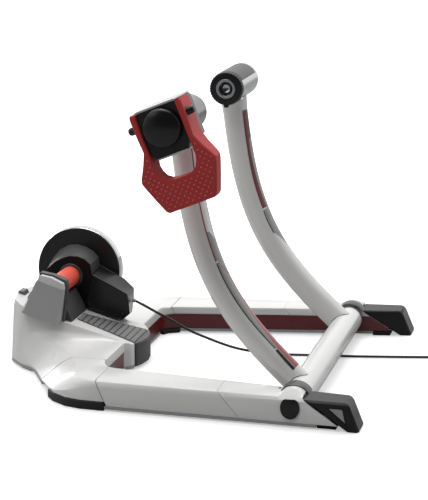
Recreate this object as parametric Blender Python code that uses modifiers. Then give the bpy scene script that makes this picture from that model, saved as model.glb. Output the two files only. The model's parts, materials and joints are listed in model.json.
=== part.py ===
"""Folding bike trainer: a three-sided moulded base, a folding steel frame with an axle clamp
and an adjustable far cup, a roller with its flywheel, and a cabled magnetic brake.

Sizes are in millimetres and become metres in point(). X runs from the brake to the front of
the legs, Y runs away from the viewer and Z is up. The floor is Z = 0.
"""

import math

import bmesh
import bpy
from mathutils import Matrix, Vector

MM = 0.001
GAP = 0.3
SEAM = 1.0
WALL = 2.5

# Base: outline, heights and seams
LEG_TOP = 44.0
SHELL_TOP = 47.0
PAN_LOW = 2.5
PAN_TOP = 7.0
COVER_LOW = PAN_TOP + GAP
LEG_INNER_0 = 208.0
LEG_INNER_SLOPE = 0.163
LEG_OUTER_0 = 280.0
LEG_OUTER_SLOPE = 0.075
SEAM_LEAN = 0.47
SEAM_1 = -92.0
SEAM_2 = 92.0
SEAM_2_LEAN = 0.91
BAY_X = -104.0
BAY_RADIUS = 30.0
CORNER_Y = 165.0
REAR_OUTLINE = ((0, -300), (45, -292), (78, -266), (100, -238), (221, -178))
CORNER_OUTLINE = ((-178, 221), (-164, 242), (-140, 262), (-115, 271))
FOOT_HEIGHT = 13.0
FOOT_PROUD = 1.5
RECESS = 2.0
INSET_TOP = 31.3
INSET_THICK = 0.8

# Tongue and hump that carry the brake
NOSE_X = -93.0
NOSE_TOP = 41.0
TONGUE_SLOPE = 0.32
TONGUE_HALF = 50.5
TONGUE_FLARE = 0.148
HUMP_HALF = 64.5
NOSE_HALF = 42.0
NOSE_BULGE = 8.0
TREAD_RIBS = 11
TREAD_THICK = 1.1
RIB_HEIGHT = 0.7

# End caps of the legs
CAP_TOP = 41.5
CAP_BACK = 218.0
CAP_FOOT = 281.0
CAP_FRONT_TOP = 285.0
FRONT_X = 300.0

# Folding frame
PIVOT_X = 200.2
PIVOT_Z = 28.7
CROSS_RADIUS = 21.0
PIVOT_RING_SPACE = 12.6
CROSS_HALF = LEG_INNER_0 + LEG_INNER_SLOPE * PIVOT_X - PIVOT_RING_SPACE
TUBE_WALL = 2.6
PIN_RADIUS = 8.0
BOSS_RADIUS = 23.5
ARM_RADIUS = 19.8
ARM_BOW = 52.4
ARM_SKEW = 2.1
ARM_Y_HEAD = 173.0
ARM_END_GAP = 40.0
ARM_Y_PIVOT = CROSS_HALF - ARM_END_GAP
HEAD_X = 15.2
HEAD_Z = 419.5
HEAD_RADIUS = 26.5
HEAD_FACE = 124.0
CUP_RADIUS = 15.5
ROD_RADIUS = 12.0

# Axle clamp, in a frame turned about the head's axis
CLAMP_TURN = 22.0
BLOCK_HALF = 30.5
BLOCK_FRONT = 285.0
BLOCK_BACK = 195.5
BLOCK_UP = 30.0
BLOCK_DOWN = 33.0
LIP_DEPTH = 40.0
LEVER_PIN_DROP = -9.7
LEVER_PIN_Y = 278.0
LEVER_PIN_RADIUS = 6.0
LEVER_FRONT = 292.0
DOME_RADIUS = 29.5
DOME_FRONT = 300.0

# Roller, flywheel and brake
ROLLER_X = -215.6
ROLLER_Z = 127.0
ROLLER_RADIUS = 15.5
SHAFT_RADIUS = 6.0
BEARING_RADIUS = 11.0
FLYWHEEL_RADIUS = 68.3
HOUSING_WALL = 2.5

# Brake's pieces in their order across, from the near cover to the flywheel
COVER_OVERHANG = 2.7
COVER_DEPTH = 12.8
BRACKET_THICK = 12.6
ROLLER_GAP = 0.9
COLLAR_GAP = 3.3
COLLAR_DEPTH = 40.7
LID_THICK = 3.0
DISC_GAP = 2.0
DISC_THICK = 2.6
RIM_DEPTH = 20.4
MOTOR_INSET = 13.7
CARRIER_INSET = 25.7
CARRIER_THICK = 11.0
COVER_FAR = -HUMP_HALF - COVER_OVERHANG
COVER_NEAR = COVER_FAR - COVER_DEPTH
BRACKET_NEAR = COVER_FAR + GAP
BRACKET_FAR = BRACKET_NEAR + BRACKET_THICK
ROLLER_NEAR = BRACKET_FAR + ROLLER_GAP
ROLLER_FAR = 27.0
COLLAR_NEAR = ROLLER_FAR + COLLAR_GAP
COLLAR_FAR = COLLAR_NEAR + COLLAR_DEPTH
DISC_NEAR = COLLAR_FAR + DISC_GAP
DISC_FAR = DISC_NEAR + DISC_THICK
RIM_FAR = DISC_FAR + RIM_DEPTH

# Cord
CORD_RADIUS = 2.0
GLAND_INSET = 21.7
GLAND_Y = COLLAR_NEAR + GLAND_INSET
GLAND_Z = 85.0
GLAND_TILT = 25.0
CORD_START = -115.0
COIL_TURNS = 9
COIL_PITCH = 4.6
COIL_INNER = 12.5

FINISHES = {
    "white_plastic": ((0.84, 0.84, 0.83), 0.35, 0.0),
    "white_paint": ((0.84, 0.84, 0.83), 0.3, 0.0),
    "pan_grey": ((0.42, 0.43, 0.44), 0.5, 0.0),
    "dark_grey": ((0.06, 0.06, 0.065), 0.5, 0.0),
    "mid_grey": ((0.25, 0.25, 0.26), 0.45, 0.0),
    "black_plastic": ((0.012, 0.012, 0.013), 0.4, 0.0),
    "black_rubber": ((0.015, 0.015, 0.015), 0.8, 0.0),
    "red_plastic": ((0.27, 0.025, 0.022), 0.42, 0.0),
    "red_inset": ((0.12, 0.008, 0.012), 0.5, 0.0),
    "roller_red": ((0.42, 0.05, 0.03), 0.55, 0.0),
    "silver": ((0.55, 0.56, 0.57), 0.35, 0.6),
    "steel": ((0.5, 0.5, 0.5), 0.3, 1.0),
    "chrome": ((0.75, 0.76, 0.78), 0.12, 1.0),
    "cable_black": ((0.01, 0.01, 0.01), 0.5, 0.0),
}

materials = {}


def clear_scene():
    for thing in list(bpy.data.objects):
        bpy.data.objects.remove(thing, do_unlink=True)


def new_collection(name):
    collection = bpy.data.collections.new(name)
    bpy.context.scene.collection.children.link(collection)
    return collection


def point(x, y, z):
    return Vector((x * MM, y * MM, z * MM))


def mix(a, b, t):
    return a + (b - a) * t


def finish(name):
    if name not in materials:
        colour, roughness, metallic = FINISHES[name]
        made = bpy.data.materials.new(name)
        made.use_nodes = True
        shader = made.node_tree.nodes["Principled BSDF"]
        shader.inputs["Base Color"].default_value = (*colour, 1.0)
        shader.inputs["Roughness"].default_value = roughness
        shader.inputs["Metallic"].default_value = metallic
        materials[name] = made
    return materials[name]


def add(name, mesh, finish_name, crease=35.0):
    obj = bpy.data.objects.new(name, mesh)
    parts.objects.link(obj)
    mesh.materials.append(finish(finish_name))
    if mesh.polygons:
        mesh.shade_smooth()
        mesh.set_sharp_from_angle(angle=math.radians(crease))
    return obj


def loft(name, rings, finish_name, ring_loop=False, crease=35.0):
    """Body through rings of equal count. With ring_loop the last ring joins the first."""
    bm = bmesh.new()
    rows = [[bm.verts.new(point(*p)) for p in ring] for ring in rings]
    pairs = list(zip(rows, rows[1:]))
    if ring_loop:
        pairs.append((rows[-1], rows[0]))
    count = len(rows[0])
    for first, second in pairs:
        for i in range(count):
            j = (i + 1) % count
            bm.faces.new((first[i], first[j], second[j], second[i]))
    if not ring_loop:
        bm.faces.new(rows[0])
        bm.faces.new(rows[-1])
    bmesh.ops.recalc_face_normals(bm, faces=bm.faces)
    mesh = bpy.data.meshes.new(name)
    bm.to_mesh(mesh)
    bm.free()
    return add(name, mesh, finish_name, crease)


def skin(name, rows, finish_name, thickness=WALL):
    """Open surface through rows of points, thickened towards its inside."""
    bm = bmesh.new()
    grid = [[bm.verts.new(point(*p)) for p in row] for row in rows]
    for first, second in zip(grid, grid[1:]):
        for i in range(len(first) - 1):
            bm.faces.new((first[i], first[i + 1], second[i + 1], second[i]))
    bmesh.ops.recalc_face_normals(bm, faces=bm.faces)
    if sum(face.normal.z * face.calc_area() for face in bm.faces) < 0:
        bmesh.ops.reverse_faces(bm, faces=bm.faces)
    mesh = bpy.data.meshes.new(name)
    bm.to_mesh(mesh)
    bm.free()
    obj = add(name, mesh, finish_name)
    shell = obj.modifiers.new("shell", "SOLIDIFY")
    shell.thickness = thickness * MM
    shell.offset = -1.0
    shell.use_even_offset = True
    return obj


def prism(name, outline, y0, y1, finish_name):
    """Flat outline in X and Z, pulled along Y."""
    return loft(name, [[(x, y, z) for x, z in outline] for y in (y0, y1)], finish_name)


def slab(name, outline, z0, z1, finish_name):
    """Flat outline in X and Y, pulled along Z."""
    return loft(name, [[(x, y, z) for x, y in outline] for z in (z0, z1)], finish_name)


def turned(name, profile, centre, finish_name, steps=32, flip=1):
    """Profile of (radius, distance along Y), turned about a line along Y through centre."""
    mesh = bpy.data.meshes.new(name)
    closed = all(radius > 0 for radius, _ in profile)
    vertices = [(radius * MM, 0.0, flip * along * MM) for radius, along in profile]
    turning = sum(a[0] * b[2] - b[0] * a[2] for a, b in zip(vertices, vertices[1:] + vertices[:1]))
    if turning > 0:
        vertices.reverse()
    edges = [(i, i + 1) for i in range(len(profile) - 1)]
    if closed:
        edges.append((len(profile) - 1, 0))
    mesh.from_pydata(vertices, edges, [])
    obj = add(name, mesh, finish_name)
    obj.location = point(centre[0], 0, centre[1])
    obj.rotation_euler = (-math.pi / 2, 0, 0)
    screw = obj.modifiers.new("turn", "SCREW")
    screw.axis = "Z"
    screw.angle = 2 * math.pi
    screw.steps = steps
    screw.render_steps = steps
    screw.use_merge_vertices = True
    screw.merge_threshold = 0.00001
    return obj


def cutter(name, radius, start, end, steps=32):
    """Cylinder between two points in millimetres, used only to cut."""
    a = point(*start)
    b = point(*end)
    bm = bmesh.new()
    turn = (b - a).to_track_quat("Z", "Y").to_matrix().to_4x4()
    place = Matrix.Translation((a + b) / 2) @ turn
    bmesh.ops.create_cone(
        bm, cap_ends=True, segments=steps, radius1=radius * MM, radius2=radius * MM,
        depth=(b - a).length, matrix=place)
    mesh = bpy.data.meshes.new(name)
    bm.to_mesh(mesh)
    bm.free()
    obj = bpy.data.objects.new(name, mesh)
    cutters.objects.link(obj)
    obj.hide_render = True
    obj.display_type = "WIRE"
    return obj


def cut(obj, tool):
    modifier = obj.modifiers.new("cut " + tool.name, "BOOLEAN")
    modifier.operation = "DIFFERENCE"
    modifier.solver = "EXACT"
    modifier.object = tool


def rod(name, radius, start, end, finish_name, steps=24):
    """Plain round bar between two points."""
    obj = cutter(name, radius, start, end, steps)
    cutters.objects.unlink(obj)
    parts.objects.link(obj)
    obj.hide_render = False
    obj.display_type = "TEXTURED"
    obj.data.materials.append(finish(finish_name))
    obj.data.shade_smooth()
    obj.data.set_sharp_from_angle(angle=math.radians(35))
    return obj


def side_name(side):
    return "near" if side < 0 else "far"


def leg_inner(x, depth=0.0):
    """Inner wall of a leg, or a depth into it, as a distance from the middle."""
    across = math.sqrt(1 + LEG_INNER_SLOPE ** 2)
    line = LEG_INNER_0 + LEG_INNER_SLOPE * x + depth * across
    centre_x, centre_y = bay_centre()
    tangent_x = centre_x - BAY_RADIUS * LEG_INNER_SLOPE / across
    if x >= tangent_x:
        return line
    reach = (BAY_RADIUS + depth) ** 2 - (x - centre_x) ** 2
    return centre_y + math.sqrt(max(reach, 0.0))


def leg_outer(x):
    return LEG_OUTER_0 + LEG_OUTER_SLOPE * x


def bay_centre():
    """Centre of the round corner between the bay's rear wall and the leg."""
    across = math.sqrt(1 + LEG_INNER_SLOPE ** 2)
    x = BAY_X + BAY_RADIUS
    return x, LEG_INNER_0 + LEG_INNER_SLOPE * x - BAY_RADIUS * across


def bay_arc(angle, depth=0.0):
    x, y = bay_centre()
    reach = BAY_RADIUS + depth
    return x + reach * math.cos(math.radians(angle)), y + reach * math.sin(math.radians(angle))


LEG_PROFILE = ((0, 0), (0, LEG_TOP - 11), (1.2, LEG_TOP - 5.5), (4, LEG_TOP - 1.7), (9, LEG_TOP))
ARM_PROFILE = ((0, 0), (0, COVER_LOW + 3), (15, 24), (33, 39), (48, SHELL_TOP))


def leg_row(side, top_x, lean, raise_z=0.0, knee=LEG_TOP):
    """Section of a leg from its outer to its inner lower edge, leaning along X below the knee."""
    outer = [(a, max(z, COVER_LOW)) for a, z in LEG_PROFILE]
    inner = [(22, LEG_TOP), (5, LEG_TOP), (1.2, LEG_TOP - 1), (0, LEG_TOP - 4.5),
             (0, INSET_TOP + 0.7), (RECESS, INSET_TOP + GAP), (RECESS, COVER_LOW)]
    row = []
    for offset, z in outer:
        x = top_x + max(knee - z, 0.0) * lean
        lift = raise_z if offset == LEG_PROFILE[-1][0] else raise_z * 0.35 * (z > LEG_TOP - 2)
        row.append((x, side * (leg_outer(x) - offset - min(1.5 * lift, 9)), z + lift))
    for depth, z in inner:
        x = top_x + max(knee - z, 0.0) * lean
        lift = raise_z if z > LEG_TOP - 2 else 0.0
        row.append((x, side * leg_inner(x, depth), z + lift))
    return row


def corner_row(side, outer, angle, share, low):
    """Section round the rear corner. share is 0 at the leg and 1 at the rear arm."""
    inner_foot = Vector(bay_arc(angle))
    start = Vector(outer)
    run = (inner_foot - start).normalized()
    top = mix(LEG_TOP, SHELL_TOP, share)
    row = []
    for i, (leg, arm) in enumerate(zip(LEG_PROFILE, ARM_PROFILE)):
        place = start + run * mix(leg[0], arm[0], share)
        z = low if i == 0 else max(mix(leg[1], arm[1], share), low + 3)
        row.append((place.x, side * place.y, z))
    for depth, z in ((22, top), (5, top), (1.2, top - 1), (0, top - 4.5),
                     (0, INSET_TOP + 0.7), (RECESS, INSET_TOP + GAP), (RECESS, COVER_LOW)):
        x, y = bay_arc(angle, depth)
        row.append((x, side * y, z))
    return row


def corner_stations():
    """Outer point, bay angle and share of the rear arm for each section of the corner."""
    rear_x = rear_edge(CORNER_Y + SEAM)
    stations = [((rear_x, CORNER_Y + SEAM), 180.0, 1.0)]
    for outer, angle, share in zip(CORNER_OUTLINE, (169, 158, 147, 138), (0.9, 0.7, 0.4, 0.12)):
        stations.append((outer, float(angle), share))
    return stations


def rear_edge(y):
    """X of the base's rear lower edge at a distance from the middle."""
    for (y0, x0), (y1, x1) in zip(REAR_OUTLINE, REAR_OUTLINE[1:]):
        if y <= y1:
            return mix(x0, x1, (y - y0) / (y1 - y0))
    return REAR_OUTLINE[-1][1]


def tongue_plane(x):
    return NOSE_TOP + TONGUE_SLOPE * (NOSE_X - 1 - x)


def tongue_half(x):
    return min(HUMP_HALF, TONGUE_HALF + TONGUE_FLARE * (NOSE_X - x))


FALL = ((0, 1.0), (1.5, 0.76), (4, 0.5), (9, 0.27), (12, 0.2), (18, 0.09), (30, 0.0))


def shell_height(x, y):
    """Height of the rear shell's top surface."""
    beyond = y - tongue_half(x)
    if beyond <= 0:
        return tongue_plane(x)
    share = 0.0
    for (d0, f0), (d1, f1) in zip(FALL, FALL[1:]):
        if d0 <= beyond <= d1:
            share = mix(f0, f1, (beyond - d0) / (d1 - d0))
    return SHELL_TOP + (tongue_plane(x) - SHELL_TOP) * share


def bay_front(y):
    """X of the shell's front wall: the tongue's nose, its round side, then the bay's wall."""
    steps = ((0, NOSE_X), (TONGUE_HALF - 1.5, NOSE_X), (TONGUE_HALF + 1.5, NOSE_X - 1.5),
             (TONGUE_HALF + 5, NOSE_X - 5), (TONGUE_HALF + 9.5, BAY_X), (CORNER_Y, BAY_X))
    for (y0, x0), (y1, x1) in zip(steps, steps[1:]):
        if y <= y1:
            return mix(x0, x1, (y - y0) / (y1 - y0))
    return BAY_X


def shell_row(side, inside, beyond, fixed):
    """Section of the rear shell from its rear to its front lower edge."""

    def across(x):
        return fixed if fixed else tongue_half(x) * inside + beyond

    back_y = across(REAR_OUTLINE[0][1] + 15)
    back = rear_edge(back_y)
    steep = min(max((back_y - HUMP_HALF + 6) / 42, 0.0), 1.0)
    length = mix(7, 48, steep)
    crest = shell_height(back + length, across(back + length))
    row = [(back, back_y, COVER_LOW), (back, back_y, COVER_LOW + 3)]
    for along, rise in ((0.31, mix(0.45, 0.42, steep)), (0.68, mix(0.9, 0.8, steep))):
        x = back + length * along
        row.append((x, across(x), mix(COVER_LOW, crest, rise)))
    row.append((back + length, across(back + length), crest))
    front = bay_front(across(BAY_X))
    for along in (0.18, 0.38, 0.58, 0.78):
        x = mix(back + length, front - 3, along)
        row.append((x, across(x), shell_height(x, across(x))))
    y = across(front)
    height = shell_height(front - 3, y)
    recess = RECESS if y > TONGUE_HALF + 10 else 0.0
    row += [(front - 3, y, height), (front - 0.9, y, height - 0.9), (front, y, height - 3),
            (front, y, INSET_TOP + 0.7), (front - recess, y, INSET_TOP + GAP),
            (front - recess, y, COVER_LOW)]
    return [(x, side * yy, z) for x, yy, z in row]


def make_rear_shell():
    half = [(0.35, 0, 0), (0.7, 0, 0), (0.92, 0, 0), (1, 0, 0)]
    half += [(1, beyond, 0) for beyond, _ in FALL[1:]]
    half += [(0, 0, 114), (0, 0, 140), (0, 0, CORNER_Y)]
    rows = [shell_row(-1, *station) for station in reversed(half)]
    rows.append(shell_row(1, 0, 0, 0))
    rows += [shell_row(1, *station) for station in half]
    skin("rear_shell", rows, "white_plastic")


def make_corner_cover(side):
    rows = []
    for i, (outer, angle, share) in enumerate(corner_stations()):
        low = COVER_LOW if i == 0 else FOOT_HEIGHT + GAP
        rows.append(corner_row(side, outer, angle, share, low))
    for back, share in ((3.2, 0.33), (1.6, 0.67), (0.0, 1.0)):
        top_x = SEAM_1 - SEAM / 2 - back
        row = leg_row(side, top_x, SEAM_LEAN * share)
        low_x = top_x + (LEG_TOP - FOOT_HEIGHT - GAP) * SEAM_LEAN * share
        row[0] = (low_x, side * leg_outer(low_x), FOOT_HEIGHT + GAP)
        rows.append(row)
    skin(side_name(side) + "_corner_cover", rows, "white_plastic")


def slant_tool(name, top_x, knee, lean, reach):
    """Cutting block with one face upright above the knee and leaning along X below it."""
    high = LEG_TOP + 20
    low = -10.0
    line = [(top_x + max(knee - z, 0.0) * lean, z) for z in (high, knee, low)]
    outline = line + [(line[-1][0] + reach, low), (line[-1][0] + reach, high)]
    tool = prism(name, outline, -LEG_OUTER_0 - 40, LEG_OUTER_0 + 40, "white_paint")
    parts.objects.unlink(tool)
    cutters.objects.link(tool)
    tool.hide_render = True
    tool.display_type = "WIRE"
    return tool


def make_leg_cover(side):
    first = SEAM_1 + SEAM / 2
    rows = [leg_row(side, first, SEAM_LEAN), leg_row(side, first + 10, SEAM_LEAN * 0.6),
            leg_row(side, first + 26, 0.0), leg_row(side, 0.0, 0.0),
            leg_row(side, SEAM_2 - 8, SEAM_2_LEAN), leg_row(side, SEAM_2 + 6, SEAM_2_LEAN)]
    cover = skin(side_name(side) + "_leg_cover", rows, "white_plastic")
    cut(cover, slant_tool(cover.name + "_end", SEAM_2 - SEAM / 2, LEG_TOP, SEAM_2_LEAN, 60))


def cap_lean():
    return (CAP_FOOT - CAP_BACK) / CAP_TOP


def boss_lift(x):
    """How far the round boss over the pivot stands above the leg at x."""
    reach = BOSS_RADIUS ** 2 - (x - PIVOT_X) ** 2
    return max(PIVOT_Z + math.sqrt(max(reach, 0.0)) - LEG_TOP, 0.0)


def make_leg_front(side):
    name = side_name(side)
    end = CAP_BACK
    rows = [leg_row(side, SEAM_2 - 6, SEAM_2_LEAN), leg_row(side, SEAM_2 + 8, SEAM_2_LEAN),
            leg_row(side, 117.0, 0.7), leg_row(side, 136.0, 0.48), leg_row(side, 157.0, 0.3)]
    half_boss = math.sqrt(BOSS_RADIUS ** 2 - (LEG_TOP - PIVOT_Z) ** 2)
    for share in (-1.0, -0.8, -0.55, -0.28, 0.0, 0.28, 0.55, 0.78):
        x = PIVOT_X + half_boss * share
        lean = mix(0.3, cap_lean(), (share + 1) / 2.2)
        rows.append(leg_row(side, x, lean, boss_lift(x), CAP_TOP))
    rows.append(leg_row(side, end, cap_lean(), boss_lift(end), CAP_TOP))
    cover = skin(name + "_leg_front", rows, "white_plastic")
    cut(cover, slant_tool(name + "_leg_start", SEAM_2 + SEAM / 2, LEG_TOP, SEAM_2_LEAN, -120))
    cut(cover, slant_tool(name + "_leg_end", CAP_BACK - SEAM, CAP_TOP, cap_lean(), 60))
    inner = leg_inner(PIVOT_X)
    outer = leg_outer(PIVOT_X)
    cut(cover, cutter(name + "_pin_hole", PIN_RADIUS + GAP, (PIVOT_X, side * (inner - 12), PIVOT_Z),
                      (PIVOT_X, side * (inner + 18), PIVOT_Z)))
    cut(cover, cutter(name + "_plug_hole", PIN_RADIUS + 3 + GAP,
                      (PIVOT_X, side * (outer - 14), PIVOT_Z), (PIVOT_X, side * (outer + 8), PIVOT_Z)))


def make_pan(side):
    name = side_name(side)
    start = foot_end() + GAP
    end = CAP_BACK + 19.5
    outline = [(start, side * leg_inner(start)), (end, side * leg_inner(end)),
               (end, side * leg_outer(end)), (start, side * leg_outer(start))]
    slab(name + "_leg_pan", outline, PAN_LOW, PAN_TOP, "pan_grey")
    pad_start = end + GAP
    pad_end = end + 28
    pad = [(pad_start, side * (leg_inner(pad_start) - 1)), (pad_end, side * (leg_inner(pad_end) - 1)),
           (pad_end, side * (leg_outer(pad_end) - 8)), (pad_start, side * (leg_outer(pad_start) - 8))]
    slab(name + "_front_pad", pad, 0.0, PAN_TOP - 1.4, "black_rubber")


def make_centre_pan():
    edge = CORNER_Y
    rear = [(rear_edge(y), y) for y in (0, 45, 78, 100, edge)]
    front = [(bay_front(y), y) for y in (edge, TONGUE_HALF + 9.5, TONGUE_HALF + 5, TONGUE_HALF + 1.5,
                                         TONGUE_HALF - 1.5)]
    half = rear + front
    mirrored = [(x, -y) for x, y in reversed(half) if y > 0]
    slab("centre_pan", half + mirrored, PAN_LOW, PAN_TOP, "pan_grey")


def foot_end():
    return SEAM_1 + (LEG_TOP - FOOT_HEIGHT) * SEAM_LEAN - GAP


def make_corner_foot(side):
    rings = []
    stations = [(outer, angle) for outer, angle, _ in corner_stations()[1:]]
    for outer, angle in stations:
        start = Vector(outer)
        inner = Vector(bay_arc(angle, -4.0))
        rings.append(foot_ring(side, start, inner))
    x = foot_end()
    rings.append(foot_ring(side, Vector((x, leg_outer(x))), Vector((x, leg_inner(x, -4.0)))))
    loft(side_name(side) + "_corner_foot", rings, "black_rubber")


def foot_ring(side, outer, inner):
    """L-shaped section: a floor pad with a lip that the cover's lower edge stands on."""
    run = (inner - outer).normalized()
    proud = outer - run * FOOT_PROUD
    lip = outer + run * (WALL + 1)
    low = PAN_TOP - 0.2
    places = ((proud, 0.0), (proud, FOOT_HEIGHT), (lip, FOOT_HEIGHT), (lip, low), (inner, low),
              (inner, 0.0))
    return [(p.x, side * p.y, z) for p, z in places]


def make_rear_foot():
    half = [(-286, 0), (-283, 50), (-266, 73), (-246, 90), (-236, 86), (-252, 60), (-262, 44), (-264, 0)]
    other = [(x, -y) for x, y in reversed(half) if y > 0]
    slab("rear_foot", half + other, 0.0, PAN_LOW - GAP, "black_rubber")


def make_inset(side):
    """Red strip let into the wall of the bay and the leg, notched round the pivot pin."""
    name = side_name(side)
    back = RECESS - 3 * GAP
    face = back - INSET_THICK
    low = COVER_LOW + GAP
    rings = []

    def ring(inner, outer):
        rings.append([(inner[0], side * inner[1], low), (inner[0], side * inner[1], INSET_TOP),
                      (outer[0], side * outer[1], INSET_TOP), (outer[0], side * outer[1], low)])

    for y in (TONGUE_HALF + 14, 110, bay_centre()[1]):
        ring((BAY_X - face, y), (BAY_X - back, y))
    for angle in (171, 160, 149, 138, 127, 116, 106):
        ring(bay_arc(angle, face), bay_arc(angle, back))
    for x in (-70, 60, PIVOT_X):
        ring((x, leg_inner(x, face)), (x, leg_inner(x, back)))
    end = CAP_BACK - 1.5 - (LEG_TOP - CAP_TOP) * cap_lean()
    last = []
    for depth, z in ((face, low), (face, INSET_TOP), (back, INSET_TOP), (back, low)):
        x = end + (LEG_TOP - z) * cap_lean()
        last.append((x, side * leg_inner(x, depth), z))
    rings.append(last)
    inset = loft(name + "_inset", rings, "red_inset")
    wall = leg_inner(PIVOT_X)
    cut(inset, cutter(name + "_inset_notch", PIN_RADIUS + 1, (PIVOT_X, side * (wall - 9), PIVOT_Z),
                      (PIVOT_X, side * (wall + 9), PIVOT_Z)))


def cap_outline(inset):
    """Side outline of an end cap, drawn in by an inset."""
    top = CAP_TOP - inset
    lean = cap_lean()
    back = CAP_BACK + inset * (1 + lean)
    foot = CAP_FOOT - inset
    return [(back + inset * lean, top), (CAP_FRONT_TOP - 7, top), (CAP_FRONT_TOP - 2.5, top - 1.5),
            (CAP_FRONT_TOP + 1 - inset, top - 6), (FRONT_X - inset, 2.0), (FRONT_X - 1 - inset, 0.0),
            (foot + 2 * inset, 0.0)]


def make_cap(side):
    name = side_name(side)
    rings = []
    for inset, place in ((2.0, 0.0), (0.0, 2.5), (0.0, -4.0), (3.0, 0.0)):
        inner_side = place > 0 or inset == 2.0
        ring = []
        for x, z in cap_outline(inset):
            y = leg_inner(x) + place if inner_side else leg_outer(x) + place
            ring.append((x, side * y, z))
        rings.append(ring)
    cap = loft(name + "_end_cap", rings, "black_plastic")
    window = [(254.0, 33.0), (276.5, 33.0), (281.5, 9.5)]
    deep = 1.6
    rings = []
    for reach in (-deep, 6.0):
        rings.append([(x, side * (leg_outer(x) + reach), z) for x, z in window])
    tool = loft(name + "_window_tool", rings, "black_plastic")
    parts.objects.unlink(tool)
    cutters.objects.link(tool)
    tool.hide_render = True
    tool.display_type = "WIRE"
    cut(cap, tool)


def make_tread():
    """Ribbed strip on the tongue, wide at the nose and narrow at the roller."""
    back_x = -188.5
    front_x = NOSE_X - 0.5
    back_edges = (-30.5, 5.5)
    front_edges = (-41.0, 40.0)
    rings = []
    for i in range(TREAD_RIBS):
        for share, rise in ((0.0, 0.0), (0.12, RIB_HEIGHT), (0.72, RIB_HEIGHT), (0.84, 0.0)):
            t = (i + share) / (TREAD_RIBS - 0.16)
            x = mix(back_x, front_x, t)
            low = mix(back_edges[0], front_edges[0], t)
            high = mix(back_edges[1], front_edges[1], t)
            z = tongue_plane(x) + GAP
            rings.append([(x, low, z), (x, high, z), (x, high, z + TREAD_THICK + rise),
                          (x, low, z + TREAD_THICK + rise)])
    loft("tongue_tread", rings, "dark_grey")


def make_nose():
    rings = []
    back = NOSE_X + GAP
    for share in (-1.0, -0.95, -0.6, 0.0, 0.6, 0.95, 1.0):
        y = NOSE_HALF * share
        x = back + (1.5 if abs(share) == 1.0 else 3.0) + NOSE_BULGE * (1 - share ** 2)
        rings.append([(back, y, 4.0), (x, y, 4.0), (x, y, NOSE_TOP - 2.0), (x - 1.3, y, NOSE_TOP),
                      (back, y, NOSE_TOP + 0.8)])
    loft("tongue_nose", rings, "dark_grey")


def make_rear_lug():
    back = rear_edge(0) + 8.5
    front = back + 12.5
    outline = [(back, seat(back)), (back + 1.5, seat(back) + 3), (front - 3, seat(front) + 6),
               (front, seat(front))]
    prism("rear_lug", outline, -11.0, 11.0, "dark_grey")


def make_pivot(side):
    name = side_name(side)
    outer = leg_outer(PIVOT_X)
    ring_far = leg_inner(PIVOT_X - BOSS_RADIUS) - GAP
    turned(name + "_pivot_ring", [(PIN_RADIUS + GAP, CROSS_HALF + GAP), (PIN_RADIUS + GAP, ring_far),
                                  (CROSS_RADIUS + 0.4, ring_far), (CROSS_RADIUS + 0.4, CROSS_HALF + GAP)],
           (PIVOT_X, PIVOT_Z), "mid_grey", 32, side)
    flange = leg_inner(PIVOT_X + BOSS_RADIUS, RECESS + WALL) + 1.0
    pin_end = outer - 24
    flange_radius = BOSS_RADIUS - WALL - 2
    turned(name + "_pivot_pin", [(0, CROSS_HALF - 22), (PIN_RADIUS, CROSS_HALF - 22),
                                 (PIN_RADIUS, flange), (flange_radius, flange),
                                 (flange_radius, pin_end), (0, pin_end)],
           (PIVOT_X, PIVOT_Z), "steel", 28, side)
    rings = []
    shank = PIN_RADIUS + 3 - 0.2
    top_flat = 13.0
    for radius, reach in ((shank, -4.5), (shank, GAP), (14.0, GAP), (14.0, 1.6), (11.5, 2.4)):
        ring = []
        for i in range(24):
            angle = 2 * math.pi * i / 24
            x = PIVOT_X + radius * math.cos(angle)
            tall = 1.17 if radius > shank else 1.0
            z = PIVOT_Z + min(radius * tall * math.sin(angle), top_flat)
            place = outer + 1.1 if radius > shank or reach == GAP else outer
            ring.append((x, side * (place + reach), z))
        rings.append(ring)
    loft(name + "_pivot_plug", rings, "black_plastic")


def arm_point(share):
    """Centre line of an arm in X and Z, from the head to the pivot."""
    chord = Vector((PIVOT_X - HEAD_X, PIVOT_Z - HEAD_Z))
    place = Vector((HEAD_X, HEAD_Z)) + chord * share
    sideways = Vector((chord.y, -chord.x)).normalized()
    bow = ARM_BOW * math.sin(math.pi * share) - ARM_SKEW * math.sin(2 * math.pi * share)
    return place + sideways * bow


def arm_ring(share, radius, side, steps, seat=None):
    """Ring of the arm. With seat it is slid along the arm on to a round part along Y."""
    centre = arm_point(share)
    ahead = arm_point(min(share + 0.01, 1.0)) - arm_point(max(share - 0.01, 0.0))
    lean = (ARM_Y_PIVOT - ARM_Y_HEAD)
    length = Vector((PIVOT_X - HEAD_X, PIVOT_Z - HEAD_Z)).length
    way = Vector((ahead.x, 0.0, ahead.y)).normalized()
    way = (way + Vector((0, side * lean / length, 0))).normalized()
    middle = Vector((centre.x, side * mix(ARM_Y_HEAD, ARM_Y_PIVOT, share), centre.y))
    first = way.cross(Vector((0, 1, 0))).normalized()
    second = way.cross(first)
    ring = []
    for i in range(steps):
        angle = 2 * math.pi * i / steps
        place = middle + first * radius * math.cos(angle) + second * radius * math.sin(angle)
        if seat:
            place += way * slide_to(place, way, *seat)
        ring.append(tuple(place))
    return ring


def slide_to(place, way, x, z, radius, sign):
    """Distance along way at which place meets a cylinder along Y about (x, z)."""
    dx = place.x - x
    dz = place.z - z
    a = way.x ** 2 + way.z ** 2
    b = 2 * (dx * way.x + dz * way.z)
    c = dx ** 2 + dz ** 2 - radius ** 2
    root = math.sqrt(max(b * b - 4 * a * c, 0.0))
    return (-b + sign * root) / (2 * a)


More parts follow.
